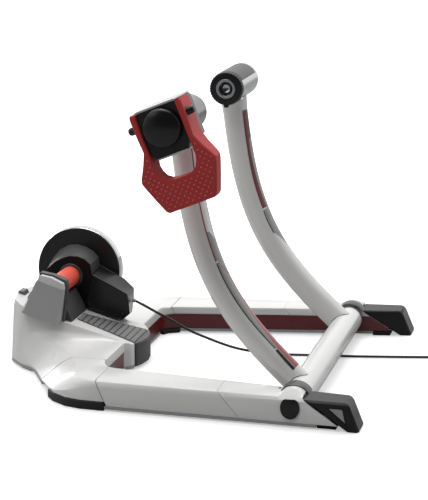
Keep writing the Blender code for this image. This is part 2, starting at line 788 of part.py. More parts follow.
def make_arm(side):
    steps = 16
    shares = (0.1, 0.2, 0.3, 0.4, 0.5, 0.6, 0.7, 0.8, 0.9)
    head_seat = (HEAD_X, HEAD_Z, HEAD_RADIUS + 3 * GAP, 1)
    tube_seat = (PIVOT_X, PIVOT_Z, CROSS_RADIUS + 3 * GAP, -1)
    bore = ARM_RADIUS - TUBE_WALL
    neck = ARM_RADIUS + 1.2
    outside = [arm_ring(0.03, neck, side, steps, head_seat)]
    outside += [arm_ring(share, ARM_RADIUS, side, steps) for share in shares]
    outside.append(arm_ring(0.99, ARM_RADIUS, side, steps, tube_seat))
    inside = [arm_ring(0.99, bore, side, steps, tube_seat)]
    inside += [arm_ring(share, bore, side, steps) for share in reversed(shares)]
    inside.append(arm_ring(0.03, bore, side, steps, head_seat))
    loft(side_name(side) + "_arm", outside + inside, "white_paint", ring_loop=True, crease=50)


def make_cross_tube():
    """Tube with an end piece let into each end, bored for the pivot pin."""
    bore = CROSS_RADIUS - TUBE_WALL
    eye = PIN_RADIUS + GAP
    end = CROSS_HALF
    deep = CROSS_HALF - 18
    turned("cross_tube", [(CROSS_RADIUS, -end), (eye, -end), (eye, -deep), (bore, -deep), (bore, deep),
                          (eye, deep), (eye, end), (CROSS_RADIUS, end)],
           (PIVOT_X, PIVOT_Z), "white_paint", 36)


def make_near_head():
    axis = (HEAD_X, HEAD_Z)
    back = -(BLOCK_BACK - GAP)
    face = -HEAD_FACE
    bore = CUP_RADIUS + GAP
    turned("near_head_barrel", [(bore, back), (bore, face), (HEAD_RADIUS - 2, face),
                                (HEAD_RADIUS, face - 1.5), (HEAD_RADIUS, face - 4),
                                (HEAD_RADIUS - 0.4, face - 4.5), (HEAD_RADIUS - 0.4, face - 6),
                                (HEAD_RADIUS, face - 6.5), (HEAD_RADIUS, back)], axis, "silver", 36)
    cup_face = face + 4
    turned("near_cup", [(0, cup_face - 14), (7, cup_face - 10), (11.5, cup_face), (CUP_RADIUS, cup_face),
                        (CUP_RADIUS, cup_face - 30), (ROD_RADIUS, cup_face - 30),
                        (ROD_RADIUS, -LEVER_PIN_Y + 16), (0, -LEVER_PIN_Y + 16)], axis, "chrome", 28)


def clamp_place(u, w, y):
    """World place of a point in the clamp's turned frame: u across, w down."""
    turn = math.radians(CLAMP_TURN)
    x = HEAD_X + u * math.cos(turn) + w * math.sin(turn)
    z = HEAD_Z + u * math.sin(turn) - w * math.cos(turn)
    return x, y, z


def clamp_loft(name, outline_rings, finish_name):
    return loft(name, [[clamp_place(u, w, y) for u, w, y in ring] for ring in outline_rings], finish_name)


def box_outline(left, right, up, down, cut_off):
    return [(left + cut_off, up), (right - cut_off, up), (right, up + cut_off), (right, down - cut_off),
            (right - cut_off, down), (left + cut_off, down), (left, down - cut_off), (left, up + cut_off)]


def make_clamp():
    outline = box_outline(-BLOCK_HALF, BLOCK_HALF, -BLOCK_UP, BLOCK_DOWN, 2.0)
    lip = LIP_DEPTH - BLOCK_DOWN
    outline[4:6] = [(BLOCK_HALF - 3.5, BLOCK_DOWN), (BLOCK_HALF - 6, BLOCK_DOWN + lip),
                    (6 - BLOCK_HALF, BLOCK_DOWN + lip), (3.5 - BLOCK_HALF, BLOCK_DOWN)]
    block = clamp_loft("clamp_block", [[(u, w, y) for u, w in outline]
                                       for y in (-BLOCK_FRONT, -BLOCK_BACK)], "black_plastic")
    cut(block, cutter("clamp_bore", ROD_RADIUS + GAP, (HEAD_X, -BLOCK_FRONT - 5, HEAD_Z),
                      (HEAD_X, -BLOCK_BACK + 5, HEAD_Z)))
    pin_ends = [clamp_place(u, LEVER_PIN_DROP, -LEVER_PIN_Y) for u in (-60, 60)]
    bore = cutter("lever_pin_bore", LEVER_PIN_RADIUS + GAP, *pin_ends)
    cut(block, bore)
    plate = box_outline(-BLOCK_HALF - 0.4, BLOCK_HALF + 0.4 - 0.8, -BLOCK_UP - 3.3, -BLOCK_UP - GAP, 0.6)
    clamp_loft("clamp_top_plate", [[(u, w, y) for u, w in plate]
                                   for y in (-BLOCK_FRONT - 1, -BLOCK_BACK - 4)], "silver")
    front = -BLOCK_FRONT - GAP
    turned("clamp_dome", [(0, front), (DOME_RADIUS - 1, front), (DOME_RADIUS - 1, front - 5),
                          (DOME_RADIUS - 3, front - 10), (DOME_RADIUS - 11, -DOME_FRONT + 1.2),
                          (0, -DOME_FRONT)], (HEAD_X, HEAD_Z), "black_plastic", 36)
    lever = make_lever()
    cut(lever, bore)
    half = 51.0
    steps = ((-half, 2.5), (-half + 1.2, 4.8), (-half + 3.5, 6.0), (half - 3.5, 6.0), (half - 1.2, 4.8),
             (half, 2.5))
    rings = []
    for u, radius in steps:
        ring = []
        for i in range(16):
            angle = 2 * math.pi * i / 16
            ring.append((u, LEVER_PIN_DROP + radius * math.sin(angle),
                         -LEVER_PIN_Y + radius * math.cos(angle)))
        rings.append(ring)
    clamp_loft("lever_pin", rings, "black_plastic")


def make_lever():
    """U-shaped lever: a ring of sections from one arm round the plate to the other arm."""
    inner_half = BLOCK_HALF + 0.7
    pairs = [((inner_half + 1, -30), (38, -31.5)), ((inner_half, -27), (40, -27)),
             ((inner_half, 5), (39.5, 5)), ((inner_half, 24), (38.5, 24)),
             ((inner_half, 38), (46, 40)), ((inner_half, 50), (56, 58)), ((29, 58), (57.5, 63)),
             ((25, 66), (56, 69)), ((18, 71), (48, 90)), ((10, 72.5), (39, 112)),
             ((5, 72.5), (35, 115.5)), ((0, 72.5), (0, 115.5))]
    path = pairs + [((-a[0], a[1]), (-b[0], b[1])) for a, b in reversed(pairs[:-1])]
    rings = []
    for inner, outer in path:
        deep = mix(50, 30, min(max((inner[1] - 24) / 30, 0), 1))
        back = -LEVER_FRONT + deep
        a = Vector(inner)
        b = Vector(outer)
        run = (b - a).normalized()
        rings.append([(*a, back), (*a, -LEVER_FRONT + 1.5), (*(a + run * 1.2), -LEVER_FRONT),
                      (*(b - run * 2), -LEVER_FRONT), (*b, -LEVER_FRONT + 2.5), (*b, back)])
    return clamp_loft("clamp_lever", rings, "red_plastic")


COVER_ANGLES = (28, 152)


def make_far_head():
    axis = (HEAD_X, HEAD_Z)
    face = HEAD_FACE
    turned("adjuster_ring", [(CUP_RADIUS + GAP, face), (CUP_RADIUS + GAP, face + 10),
                             (HEAD_RADIUS + 0.5, face + 10), (HEAD_RADIUS + 0.5, face + 1.5),
                             (HEAD_RADIUS - 1, face)], axis, "black_plastic", 40)
    cup = face - 2.5
    turned("far_cup", [(0, cup + 14), (7, cup + 10), (11.5, cup), (CUP_RADIUS, cup),
                       (CUP_RADIUS, cup + 44), (0, cup + 44)], axis, "chrome", 28)
    barrel_start = face + 10 + GAP
    barrel_end = face + 128
    step_in = 1.4
    angles = list(range(-150, 210, 15))
    low, high = COVER_ANGLES
    angles = sorted(set([a for a in angles if abs(a - low) > 5 and abs(a - high) > 5]
                        + [low, low + 1, high, high - 1]))

    def ring(y, radius, inner_cut):
        made = []
        for angle in angles:
            reach = radius
            if inner_cut and low < angle < high:
                reach = radius - step_in
            made.append((HEAD_X + reach * math.cos(math.radians(angle)), y,
                         HEAD_Z + reach * math.sin(math.radians(angle))))
        return made

    bore = CUP_RADIUS + GAP
    rings = [ring(barrel_start, bore, False), ring(barrel_start, HEAD_RADIUS, False),
             ring(barrel_start + 3, HEAD_RADIUS, False), ring(barrel_start + 3.2, HEAD_RADIUS, True),
             ring(barrel_end - 12, HEAD_RADIUS, True), ring(barrel_end - 11.8, HEAD_RADIUS, False),
             ring(barrel_end - 1.5, HEAD_RADIUS, False), ring(barrel_end, HEAD_RADIUS - 1.5, False)]
    rings.insert(0, ring(barrel_end - 5, bore, False))
    loft("far_head_barrel", rings, "silver")
    rings = []
    inner = HEAD_RADIUS - step_in + GAP
    outer = HEAD_RADIUS + 0.3
    spread = [low + 2.2 + (high - low - 4.4) * i / 12 for i in range(13)]
    for y in (barrel_start + 3.6, barrel_end - 12.4):
        made = [(HEAD_X + outer * math.cos(math.radians(a)), y, HEAD_Z + outer * math.sin(math.radians(a)))
                for a in spread]
        made += [(HEAD_X + inner * math.cos(math.radians(a)), y, HEAD_Z + inner * math.sin(math.radians(a)))
                 for a in reversed(spread)]
        rings.append(made)
    loft("far_head_cover", rings, "dark_grey")


def seat(x):
    """Height at which brake pieces stand on the tongue's slope."""
    return tongue_plane(x) + GAP


def make_rotor():
    axis = (ROLLER_X, ROLLER_Z)
    turned("roller_shaft", [(0, BRACKET_NEAR + 2), (SHAFT_RADIUS, BRACKET_NEAR + 2),
                            (SHAFT_RADIUS, RIM_FAR + 3), (0, RIM_FAR + 3)], axis, "steel", 20)
    bore = SHAFT_RADIUS + GAP
    turned("roller_sleeve", [(bore, ROLLER_NEAR), (bore, ROLLER_FAR), (ROLLER_RADIUS - 1, ROLLER_FAR),
                             (ROLLER_RADIUS, ROLLER_FAR - 1), (ROLLER_RADIUS, ROLLER_NEAR + 1),
                             (ROLLER_RADIUS - 1, ROLLER_NEAR)], axis, "roller_red", 32)
    turned("flywheel_face", [(bore, DISC_NEAR), (bore, DISC_FAR), (FLYWHEEL_RADIUS - 0.6, DISC_FAR),
                             (FLYWHEEL_RADIUS - 0.6, DISC_NEAR + 0.8), (FLYWHEEL_RADIUS - 2, DISC_NEAR)],
           axis, "black_plastic", 48)
    start = DISC_FAR + GAP
    turned("flywheel_rim", [(bore, start), (bore, RIM_FAR), (14, RIM_FAR), (17, start + 9),
                            (FLYWHEEL_RADIUS - 13, start + 9), (FLYWHEEL_RADIUS - 11, RIM_FAR),
                            (FLYWHEEL_RADIUS - 1.2, RIM_FAR), (FLYWHEEL_RADIUS, RIM_FAR - 1.2),
                            (FLYWHEEL_RADIUS, start + 1), (FLYWHEEL_RADIUS - 1, start)], axis, "chrome", 48)
    start = COLLAR_NEAR + 0.6
    end = COLLAR_NEAR + 7.6
    turned("far_bearing", [(bore, start), (bore, end), (BEARING_RADIUS, end), (BEARING_RADIUS, start)],
           axis, "steel", 28)


def make_brake_base():
    left = -262.0
    right = -190.0
    clear = ROLLER_RADIUS + 4.5
    outline = [(left, seat(left)), (right, seat(right)), (right - 2, seat(right) + 8), (-199.5, 96)]
    for angle in (-62, -90, -118):
        outline.append((ROLLER_X + clear * math.cos(math.radians(angle)),
                        ROLLER_Z + clear * math.sin(math.radians(angle))))
    outline += [(-240, 116), (-256, 118), (left, 108)]
    prism("brake_base", outline, BRACKET_FAR + GAP, ROLLER_FAR, "dark_grey")


def make_bracket():
    outline = [(-236, 152.5), (-215, 149), (-194.5, 141), (-193, 131), (-199, seat(-199) + 0.2),
               (-258, seat(-258) + 0.2)]
    bracket = prism("near_bracket", outline, BRACKET_NEAR, BRACKET_FAR, "dark_grey")
    cut(bracket, cutter("near_bearing_bore", SHAFT_RADIUS + GAP, (ROLLER_X, BRACKET_NEAR + 1.5, ROLLER_Z),
                        (ROLLER_X, BRACKET_FAR + 5, ROLLER_Z)))


def cup_loft(name, front, back, y_front, y_back, wall, front_wall, finish_name, edge=None):
    """Hollow cover that is closed at its front and open at its back."""

    def shrink(outline):
        middle = Vector((sum(p[0] for p in outline), sum(p[1] for p in outline))) / len(outline)
        made = []
        for i, place in enumerate(outline):
            before = Vector(outline[i - 1])
            after = Vector(outline[(i + 1) % len(outline)])
            here = Vector(place)
            first = (here - before).normalized()
            second = (after - here).normalized()
            normal_a = Vector((first.y, -first.x))
            normal_b = Vector((second.y, -second.x))
            inward = (normal_a + normal_b).normalized()
            if inward.dot(middle - here) < 0:
                inward = -inward
            stretch = min(1 / max(abs(inward.dot(normal_a)), 0.5), 1.6)
            made.append(tuple(here + inward * wall * stretch))
        return made

    rings = []
    if edge:
        rings.append([(x, y_front, z) for x, z in edge])
        rings.append([(x, mix(y_front, y_back, 0.35), z) for x, z in front])
    else:
        rings.append([(x, y_front, z) for x, z in front])
    rings.append([(x, y_back, z) for x, z in back])
    rings.append([(x, y_back, z) for x, z in shrink(back)])
    start = y_front + math.copysign(front_wall, y_back - y_front)
    shrunk = shrink(edge if edge else front)
    rings.append([(x, start, z) for x, z in shrunk])
    return loft(name, rings, finish_name)


def make_near_cover():
    outline = [(-233, 150), (-215, 146.5), (-197, 138), (-195.5, 130), (-202, 79), (-206.5, 71.5),
               (-253, 82.5), (-266, 89.5)]
    edge = [(-241, 138.5), (-222, 135.5), (-206, 127), (-204, 122), (-207.5, 82), (-210, 77),
            (-251, 87), (-261, 92)]
    cup_loft("near_cover", outline, outline, COVER_NEAR, COVER_FAR, HOUSING_WALL, HOUSING_WALL + 1,
             "mid_grey", edge)


def make_collar():
    front = [(-262, seat(-262) + 0.1), (-262, 118), (-255, 136), (-243, 147), (-231, 154), (-218, 158),
             (-205, 158), (-193, 154), (-184, 146), (-181.6, 131), (-196.6, seat(-196.6) + 0.2)]
    back = [(-262, seat(-262) + 0.1), (-263, 125), (-257, 146), (-245, 160), (-230, 168), (-216, 169.5),
            (-203, 166.5), (-190, 160), (-181, 150), (-178.6, 137), (-195.6, seat(-195.6) + 0.2)]
    collar = cup_loft("roller_collar", front, back, COLLAR_NEAR, COLLAR_FAR, 3.0, 8.0, "dark_grey")
    cut(collar, cutter("far_bearing_bore", BEARING_RADIUS + GAP, (ROLLER_X, COLLAR_NEAR - 5, ROLLER_Z),
                       (ROLLER_X, COLLAR_NEAR + 14, ROLLER_Z)))
    ring = 19.5
    turned("roller_seal", [(ring - 6, COLLAR_NEAR - GAP), (ring, COLLAR_NEAR - GAP),
                           (ring, ROLLER_FAR + 0.8), (ring - 6, ROLLER_FAR + 0.8)],
           (ROLLER_X, ROLLER_Z), "black_rubber", 32)


def make_magnet_housing():
    front = [(-181, 130), (-150, 114.5), (-124, 101), (-121, 85), (-119.5, 69), (-132, 58), (-196, 75)]
    back = [(-178, 137), (-138, 116), (-123, 102), (-123.5, 85), (-127, 62), (-137, 54.5), (-195, 75)]
    open_end = COLLAR_FAR - LID_THICK
    cup_loft("magnet_housing", front, back, COLLAR_NEAR, open_end, HOUSING_WALL, HOUSING_WALL,
             "black_plastic")
    prism("magnet_lid", back, open_end + GAP, COLLAR_FAR, "dark_grey")
    carrier = COLLAR_NEAR + CARRIER_INSET
    prism("magnet_carrier", [(-166, 84), (-138, 84), (-138, 104), (-166, 104)], carrier,
          carrier + CARRIER_THICK, "steel")
    motor = COLLAR_NEAR + MOTOR_INSET
    rod("brake_motor", 8.5, (-160, motor, 90), (-134, motor, 90), "steel", 20)


def gland_way():
    tilt = math.radians(GLAND_TILT)
    return Vector((math.cos(tilt), 0.0, -math.sin(tilt)))


def make_gland():
    """Metal gland on the housing's front, tilted the way the cord leaves it."""
    way = gland_way()
    up = Vector((way.z, 0.0, -way.x))
    tip = Vector((CORD_START, GLAND_Y, GLAND_Z)) - way * GAP
    rings = []
    for back, radius in ((5.4, 4.6), (3.6, 4.6), (3.5, 3.6), (0.8, 3.6), (0.0, 2.8)):
        middle = tip - way * back
        ring = []
        for i in range(16):
            angle = 2 * math.pi * i / 16
            place = middle + up * radius * math.cos(angle) + Vector((0, radius * math.sin(angle), 0))
            ring.append(tuple(place))
        rings.append(ring)
    loft("cord_gland", rings, "silver")


def smooth_route(places, count):
    """Even points on a smooth curve through the chosen places."""
    nodes = [Vector(p) for p in places]
    ends = [nodes[0] * 2 - nodes[1]] + nodes + [nodes[-1] * 2 - nodes[-2]]
    fine = []
    for i in range(1, len(ends) - 2):
        a, b, c, d = ends[i - 1:i + 3]
        for k in range(24):
            t = k / 24
            fine.append(0.5 * ((2 * b) + (c - a) * t + (2 * a - 5 * b + 4 * c - d) * t ** 2
                               + (3 * b - a - 3 * c + d) * t ** 3))
    fine.append(nodes[-1])
    lengths = [0.0]
    for a, b in zip(fine, fine[1:]):
        lengths.append(lengths[-1] + (b - a).length)
    made = []
    k = 0
    for i in range(count):
        goal = lengths[-1] * i / (count - 1)
        while k < len(lengths) - 2 and lengths[k + 1] < goal:
            k += 1
        t = (goal - lengths[k]) / max(lengths[k + 1] - lengths[k], 1e-9)
        made.append(fine[k].lerp(fine[k + 1], min(t, 1.0)))
    return made, lengths[-1]


def cord_tube(name, places, resolution):
    curve = bpy.data.curves.new(name, "CURVE")
    curve.dimensions = "3D"
    curve.bevel_depth = CORD_RADIUS * MM
    curve.bevel_resolution = resolution
    curve.use_fill_caps = True
    spline = curve.splines.new("POLY")
    spline.points.add(len(places) - 1)
    for spot, place in zip(spline.points, places):
        spot.co = (*point(*place), 1.0)
    obj = bpy.data.objects.new(name, curve)
    parts.objects.link(obj)
    mesh = bpy.data.meshes.new_from_object(obj)
    bpy.data.objects.remove(obj, do_unlink=True)
    bm = bmesh.new()
    bm.from_mesh(mesh)
    bmesh.ops.remove_doubles(bm, verts=bm.verts, dist=0.00002)
    bmesh.ops.recalc_face_normals(bm, faces=bm.faces)
    bm.to_mesh(mesh)
    bm.free()
    add(name, mesh, "cable_black", 60)


LIE = CORD_RADIUS + GAP
LEAD_ROUTE = ((-102, 52, 79), (-80, 53, 67.5), (-64, 54, 60), (-43, 55, 48.5), (-23, 56, 38.5),
              (0, 58, 29.5), (21, 61, 21.5), (42, 65, 14.5), (63, 72, 9), (90, 79, 5), (122, 86, LIE),
              (160, 91, LIE), (212, 96, LIE), (280, 107, LIE), (341, 118.5, LIE), (352, 120, LIE))
COIL_START = 356.0


def coil_route():
    """Spiral in on the floor, then out on the layer above, and off to the plug."""
    half_turns = COIL_TURNS / 2
    outer = COIL_INNER + COIL_PITCH * half_turns
    centre = Vector((COIL_START + GAP + 2 * CORD_RADIUS + outer + 6, LEAD_ROUTE[-1][1] - outer))
    start_x = COIL_START + GAP
    places = [(start_x, LEAD_ROUTE[-1][1], LIE), (start_x + 2 * CORD_RADIUS, LEAD_ROUTE[-1][1], LIE)]
    rise = 2 * CORD_RADIUS + 0.6
    total = COIL_TURNS * 24
    for i in range(total + 1):
        turn = i / 24
        if turn <= half_turns:
            radius = outer - COIL_PITCH * turn
        else:
            radius = COIL_INNER + COIL_PITCH * (turn - half_turns)
        climb = min(max((turn - half_turns + 0.25) / 0.5, 0.0), 1.0)
        climb = climb * climb * (3 - 2 * climb)
        angle = math.pi / 2 - 2 * math.pi * turn
        places.append((centre.x + radius * math.cos(angle), centre.y + radius * math.sin(angle),
                       LIE + rise * climb))
    last = Vector(places[-1])
    way = (last - Vector(places[-2])).normalized()
    places.append(tuple(last + way * 9))
    places.append(tuple(last + way * 13))
    return places, way


def least_gap(places):
    """Smallest clear distance between stretches of the coil that aren't neighbours."""
    least = 1e9
    fine = []
    for a, b in zip(places, places[1:]):
        for k in range(4):
            fine.append(Vector(a).lerp(Vector(b), k / 4))
    run = [0.0]
    for a, b in zip(fine, fine[1:]):
        run.append(run[-1] + (b - a).length)
    for i, a in enumerate(fine):
        for j in range(i + 1, len(fine)):
            if run[j] - run[i] > 8 * CORD_RADIUS:
                least = min(least, (fine[j] - a).length - 2 * CORD_RADIUS)
    return least


def make_cord():
    start = Vector((CORD_START, GLAND_Y, GLAND_Z))
    straight = start + gland_way() * 2 * CORD_RADIUS
    lead, length = smooth_route([tuple(straight)] + list(LEAD_ROUTE), 64)
    lead = [start] + lead + [Vector((COIL_START, LEAD_ROUTE[-1][1], LIE))]
    cord_tube("cord_lead", [tuple(p) for p in lead], 2)
    places, way = coil_route()
    cord_tube("cord_coil", places, 1)
    coil_length = sum((Vector(b) - Vector(a)).length for a, b in zip(places, places[1:]))
    print("lead", round(length), "mm, coil", round(coil_length), "mm, coil's least gap to itself",
          round(least_gap(places), 2), "mm")
    end = Vector(places[-1])
    start = end + way * GAP
    first = Vector((-way.y, way.x, 0.0)).normalized()
    rings = []
    for along, radius in ((0, 3.2), (6, 3.8), (6.3, 5.2), (9, 5.6), (24, 5.6), (26, 4.6), (26.2, 3.6),
                          (32, 3.6)):
        middle = start + way * along
        ring = []
        for i in range(14):
            angle = 2 * math.pi * i / 14
            place = middle + first * radius * math.cos(angle) + Vector((0, 0, radius * math.sin(angle)))
            ring.append(tuple(place))
        rings.append(ring)
    loft("cord_plug", rings, "cable_black")


def build():
    make_rear_shell()
    make_centre_pan()
    make_tread()
    make_nose()
    make_rear_lug()
    make_rear_foot()
    for side in (-1, 1):
        make_corner_cover(side)
        make_leg_cover(side)
        make_leg_front(side)
        make_pan(side)
        make_corner_foot(side)
        make_inset(side)
        make_cap(side)
        make_pivot(side)
        make_arm(side)
    make_cross_tube()
    make_near_head()
    make_clamp()
    make_far_head()
    make_rotor()
    make_brake_base()
    make_bracket()
    make_near_cover()
    make_collar()
    make_magnet_housing()
    make_gland()
    make_cord()


clear_scene()
parts = new_collection("bike_trainer")
cutters = new_collection("cutters")
build()
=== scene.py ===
"""Folding bike trainer, dressed for rendering: finishes, softened edges and small details."""

import json
import math

import bmesh
import bpy
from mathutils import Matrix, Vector

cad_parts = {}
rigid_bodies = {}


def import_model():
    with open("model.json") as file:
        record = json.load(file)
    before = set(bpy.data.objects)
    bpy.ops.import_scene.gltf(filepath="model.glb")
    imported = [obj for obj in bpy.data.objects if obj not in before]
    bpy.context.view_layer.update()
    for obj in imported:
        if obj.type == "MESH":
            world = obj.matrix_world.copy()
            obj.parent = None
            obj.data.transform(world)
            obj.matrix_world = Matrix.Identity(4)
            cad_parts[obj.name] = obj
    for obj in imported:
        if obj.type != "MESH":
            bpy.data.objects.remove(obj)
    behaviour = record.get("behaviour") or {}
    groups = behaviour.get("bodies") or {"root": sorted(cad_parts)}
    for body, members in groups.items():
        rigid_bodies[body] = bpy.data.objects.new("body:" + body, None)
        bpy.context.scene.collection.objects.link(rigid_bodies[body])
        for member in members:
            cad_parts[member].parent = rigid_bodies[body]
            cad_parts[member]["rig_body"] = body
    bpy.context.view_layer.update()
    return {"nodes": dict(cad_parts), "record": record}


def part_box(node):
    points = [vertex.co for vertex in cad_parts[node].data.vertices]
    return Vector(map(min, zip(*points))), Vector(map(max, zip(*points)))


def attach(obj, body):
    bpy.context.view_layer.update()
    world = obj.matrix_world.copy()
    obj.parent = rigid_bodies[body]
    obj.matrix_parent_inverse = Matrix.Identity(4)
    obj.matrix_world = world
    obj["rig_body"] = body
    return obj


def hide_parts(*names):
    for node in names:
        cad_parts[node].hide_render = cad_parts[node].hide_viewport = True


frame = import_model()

bl_info = {
    "name": "Bike Trainer",
    "version": (1, 0, 0),
    "blender": (4, 5, 0),
    "location": "View3D > Sidebar > Trainer",
    "description": "Dresses the folding bike trainer and lights it on a pale floor",
    "category": "Object",
}

NODES = frame["nodes"]
SLOTS = {entry["node"]: entry["material_slot"] for entry in frame["record"]["subparts"]}
MM = 0.001
SIDES = ((-1, "near"), (1, "far"))

# Shared with the solids: places (x, z) and sizes in millimetres, the clamp's turn in degrees
PIVOT = (200.2, 28.7)
HEAD = (15.2, 419.5)
FLYWHEEL = (-215.6, 127.0)
ARM_BOW = 52.4
ARM_SKEW = 2.1
ARM_Y = (173.0, 188.03)
ARM_RADIUS = 19.8
ARM_WALL = 2.6
HEAD_RADIUS = 26.5
CROSS_RADIUS = 21.0
CLAMP_TURN = 22.0
LEVER_FRONT = 292.0

# A leg's outer face: its y where x is 0, and its slope
LEG_OUTER = (280.0, 0.075)

# The tread's ribs along X, and the share of each that is its groove, whose dark line is painted shade
TREAD_START = -188.5
TREAD_END = -93.5
TREAD_RIBS = 11
GROOVE_SHARE = 0.16
RIB_PITCH = (TREAD_END - TREAD_START) / (TREAD_RIBS - GROOVE_SHARE)


def mm(x, y, z):
    return Vector((x * MM, y * MM, z * MM))


def mix(a, b, t):
    return a + (b - a) * t


# Settings

class TrainerSizes(bpy.types.PropertyGroup):
    edge: bpy.props.FloatProperty(
        name="Edge rounding", description="Width of the rounded edges of the moulded pieces",
        default=0.0016, min=0.0002, max=0.004, unit="LENGTH")
    stud_radius: bpy.props.FloatProperty(
        name="Stud radius", description="Radius of the grip studs on the clamp lever",
        default=0.0015, min=0.0005, max=0.003, unit="LENGTH")
    stud_height: bpy.props.FloatProperty(
        name="Stud height", description="Height of the grip studs on the clamp lever",
        default=0.0009, min=0.0002, max=0.002, unit="LENGTH")
    stripe_proud: bpy.props.FloatProperty(
        name="Stripe thickness", description="How far the arm stripes stand above the paint",
        default=0.00025, min=0.0001, max=0.001, unit="LENGTH")
    ring_ribs: bpy.props.IntProperty(
        name="Ring ribs", description="Number of grip ribs round the adjuster ring",
        default=36, min=8, max=80)


class TrainerColours(bpy.types.PropertyGroup):
    white: bpy.props.FloatVectorProperty(
        name="White", description="White of the covers and the frame", subtype="COLOR", size=3,
        default=(0.80, 0.80, 0.79), min=0.0, max=1.0)
    red: bpy.props.FloatVectorProperty(
        name="Red", description="Red of the clamp lever", subtype="COLOR", size=3,
        default=(0.48, 0.058, 0.056), min=0.0, max=1.0)
    deep_red: bpy.props.FloatVectorProperty(
        name="Deep red", description="Red of the strips let into the base", subtype="COLOR", size=3,
        default=(0.13, 0.008, 0.011), min=0.0, max=1.0)
    roller: bpy.props.FloatVectorProperty(
        name="Roller", description="Orange red of the roller's sleeve", subtype="COLOR", size=3,
        default=(0.76, 0.09, 0.05), min=0.0, max=1.0)
    black: bpy.props.FloatVectorProperty(
        name="Black", description="Black of the moulded pieces", subtype="COLOR", size=3,
        default=(0.012, 0.012, 0.013), min=0.0, max=1.0)
    dark_grey: bpy.props.FloatVectorProperty(
        name="Dark grey", description="Grey of the brake's body", subtype="COLOR", size=3,
        default=(0.055, 0.055, 0.058), min=0.0, max=1.0)
    mid_grey: bpy.props.FloatVectorProperty(
        name="Mid grey", description="Grey of the roller's near cover", subtype="COLOR", size=3,
        default=(0.40, 0.40, 0.405), min=0.0, max=1.0)


class TrainerStage(bpy.types.PropertyGroup):
    floor_size: bpy.props.FloatProperty(
        name="Floor size", description="Width of the pale floor", default=14.0, min=2.0, unit="LENGTH")
    lamp_level: bpy.props.FloatProperty(
        name="Lamp level", description="Factor on the power of all lamps", default=1.0, min=0.1, max=4.0)
    sky_level: bpy.props.FloatProperty(
        name="Sky level", description="Strength of the even light from all sides",
        default=0.8, min=0.0, max=2.0)
    front_level: bpy.props.FloatProperty(
        name="Front level", description="Share of the even light that comes from the camera's side",
        default=0.04, min=0.0, max=1.0)
    floor_glow: bpy.props.FloatProperty(
        name="Floor glow", description="White added to the floor near the object, for the camera alone",
        default=0.45, min=0.0, max=1.0)


# Shader steps

def feed(tree, node, values):
    """Give a node's inputs, by name or number, a socket to follow or a plain value."""
    for label, value in values.items():
        if isinstance(value, bpy.types.NodeSocket):
            tree.links.new(value, node.inputs[label])
        else:
            node.inputs[label].default_value = value


def add(tree, kind, values=None, output=0, **settings):
    """Output of a new shader node."""
    node = tree.nodes.new("ShaderNode" + kind)
    for key, value in settings.items():
        setattr(node, key, value)
    feed(tree, node, values or {})
    return node.outputs[output]


def maths(tree, operation, *values, clamp=False):
    """Result of one step of arithmetic."""
    return add(tree, "Math", dict(enumerate(values)), operation=operation, use_clamp=clamp)


def spread(tree, value, low, high, first=0.0, last=1.0):
    """Value that runs from first to last as another runs from low to high."""
    return add(tree, "MapRange", {"Value": value, "From Min": low, "From Max": high, "To Min": first,
                                  "To Max": last}, "Result")


def blend(tree, factor, first, second):
    return add(tree, "Mix", {"Factor": factor, "A": first, "B": second}, "Result", data_type="RGBA")


def noise(tree, scale, detail):
    """Noise over the surface, in the object's own coordinates."""
    place = add(tree, "TexCoord", output="Object")
    return add(tree, "TexNoise", {"Vector": place, "Scale": scale, "Detail": detail}, "Fac")


# Shader groups

def grain_steps(tree, inside):
    """Fine moulded or sprayed texture: a height for a Bump node and a slow change of the gloss."""
    patch = maths(tree, "SUBTRACT", noise(tree, inside["Patch Size"], 5.0), 0.5)
    return {"Height": noise(tree, inside["Grain Size"], 3.0),
            "Roughness": maths(tree, "MULTIPLY_ADD", patch, inside["Gloss Change"], inside["Gloss"])}


def masked(tree, mask, scale, detail, low, high, inside, tone):
    """Colour that turns to another one where a mask and patches of noise meet."""
    patches = spread(tree, noise(tree, scale, detail), low, high)
    share = maths(tree, "MULTIPLY", maths(tree, "MULTIPLY", mask, patches), inside["Amount"], clamp=True)
    return {"Colour": blend(tree, share, inside["Colour"], inside[tone])}


def edge_steps(tree, inside):
    """Worn tone along the edges, broken up by noise."""
    rounded = add(tree, "Bevel", {"Radius": inside["Width"]}, "Normal", samples=4)
    flat = add(tree, "NewGeometry", output="Normal")
    alike = add(tree, "VectorMath", {0: rounded, 1: flat}, "Value", operation="DOT_PRODUCT")
    return masked(tree, spread(tree, alike, 0.98, 0.80), 160.0, 6.0, 0.42, 0.62, inside, "Worn Colour")


def dust_steps(tree, inside):
    """Thin dust that lies in patches on faces turned up."""
    normal = add(tree, "NewGeometry", output="Normal")
    height = add(tree, "SeparateXYZ", {"Vector": normal}, "Z")
    return masked(tree, spread(tree, height, 0.2, 0.95), 22.0, 7.0, 0.4, 0.75, inside, "Dust Colour")


def drift_steps(tree, inside):
    """Slow, faint change of a colour over the surface, as mouldings and paint have."""
    centred = maths(tree, "SUBTRACT", noise(tree, inside["Scale"], 4.0), 0.5)
    factor = maths(tree, "MULTIPLY_ADD", centred, inside["Amount"], 1.0)
    return {"Colour": add(tree, "VectorMath", {"Vector": inside["Colour"], "Scale": factor}, "Vector",
                          operation="SCALE")}


GREY = (0.5, 0.5, 0.5, 1)

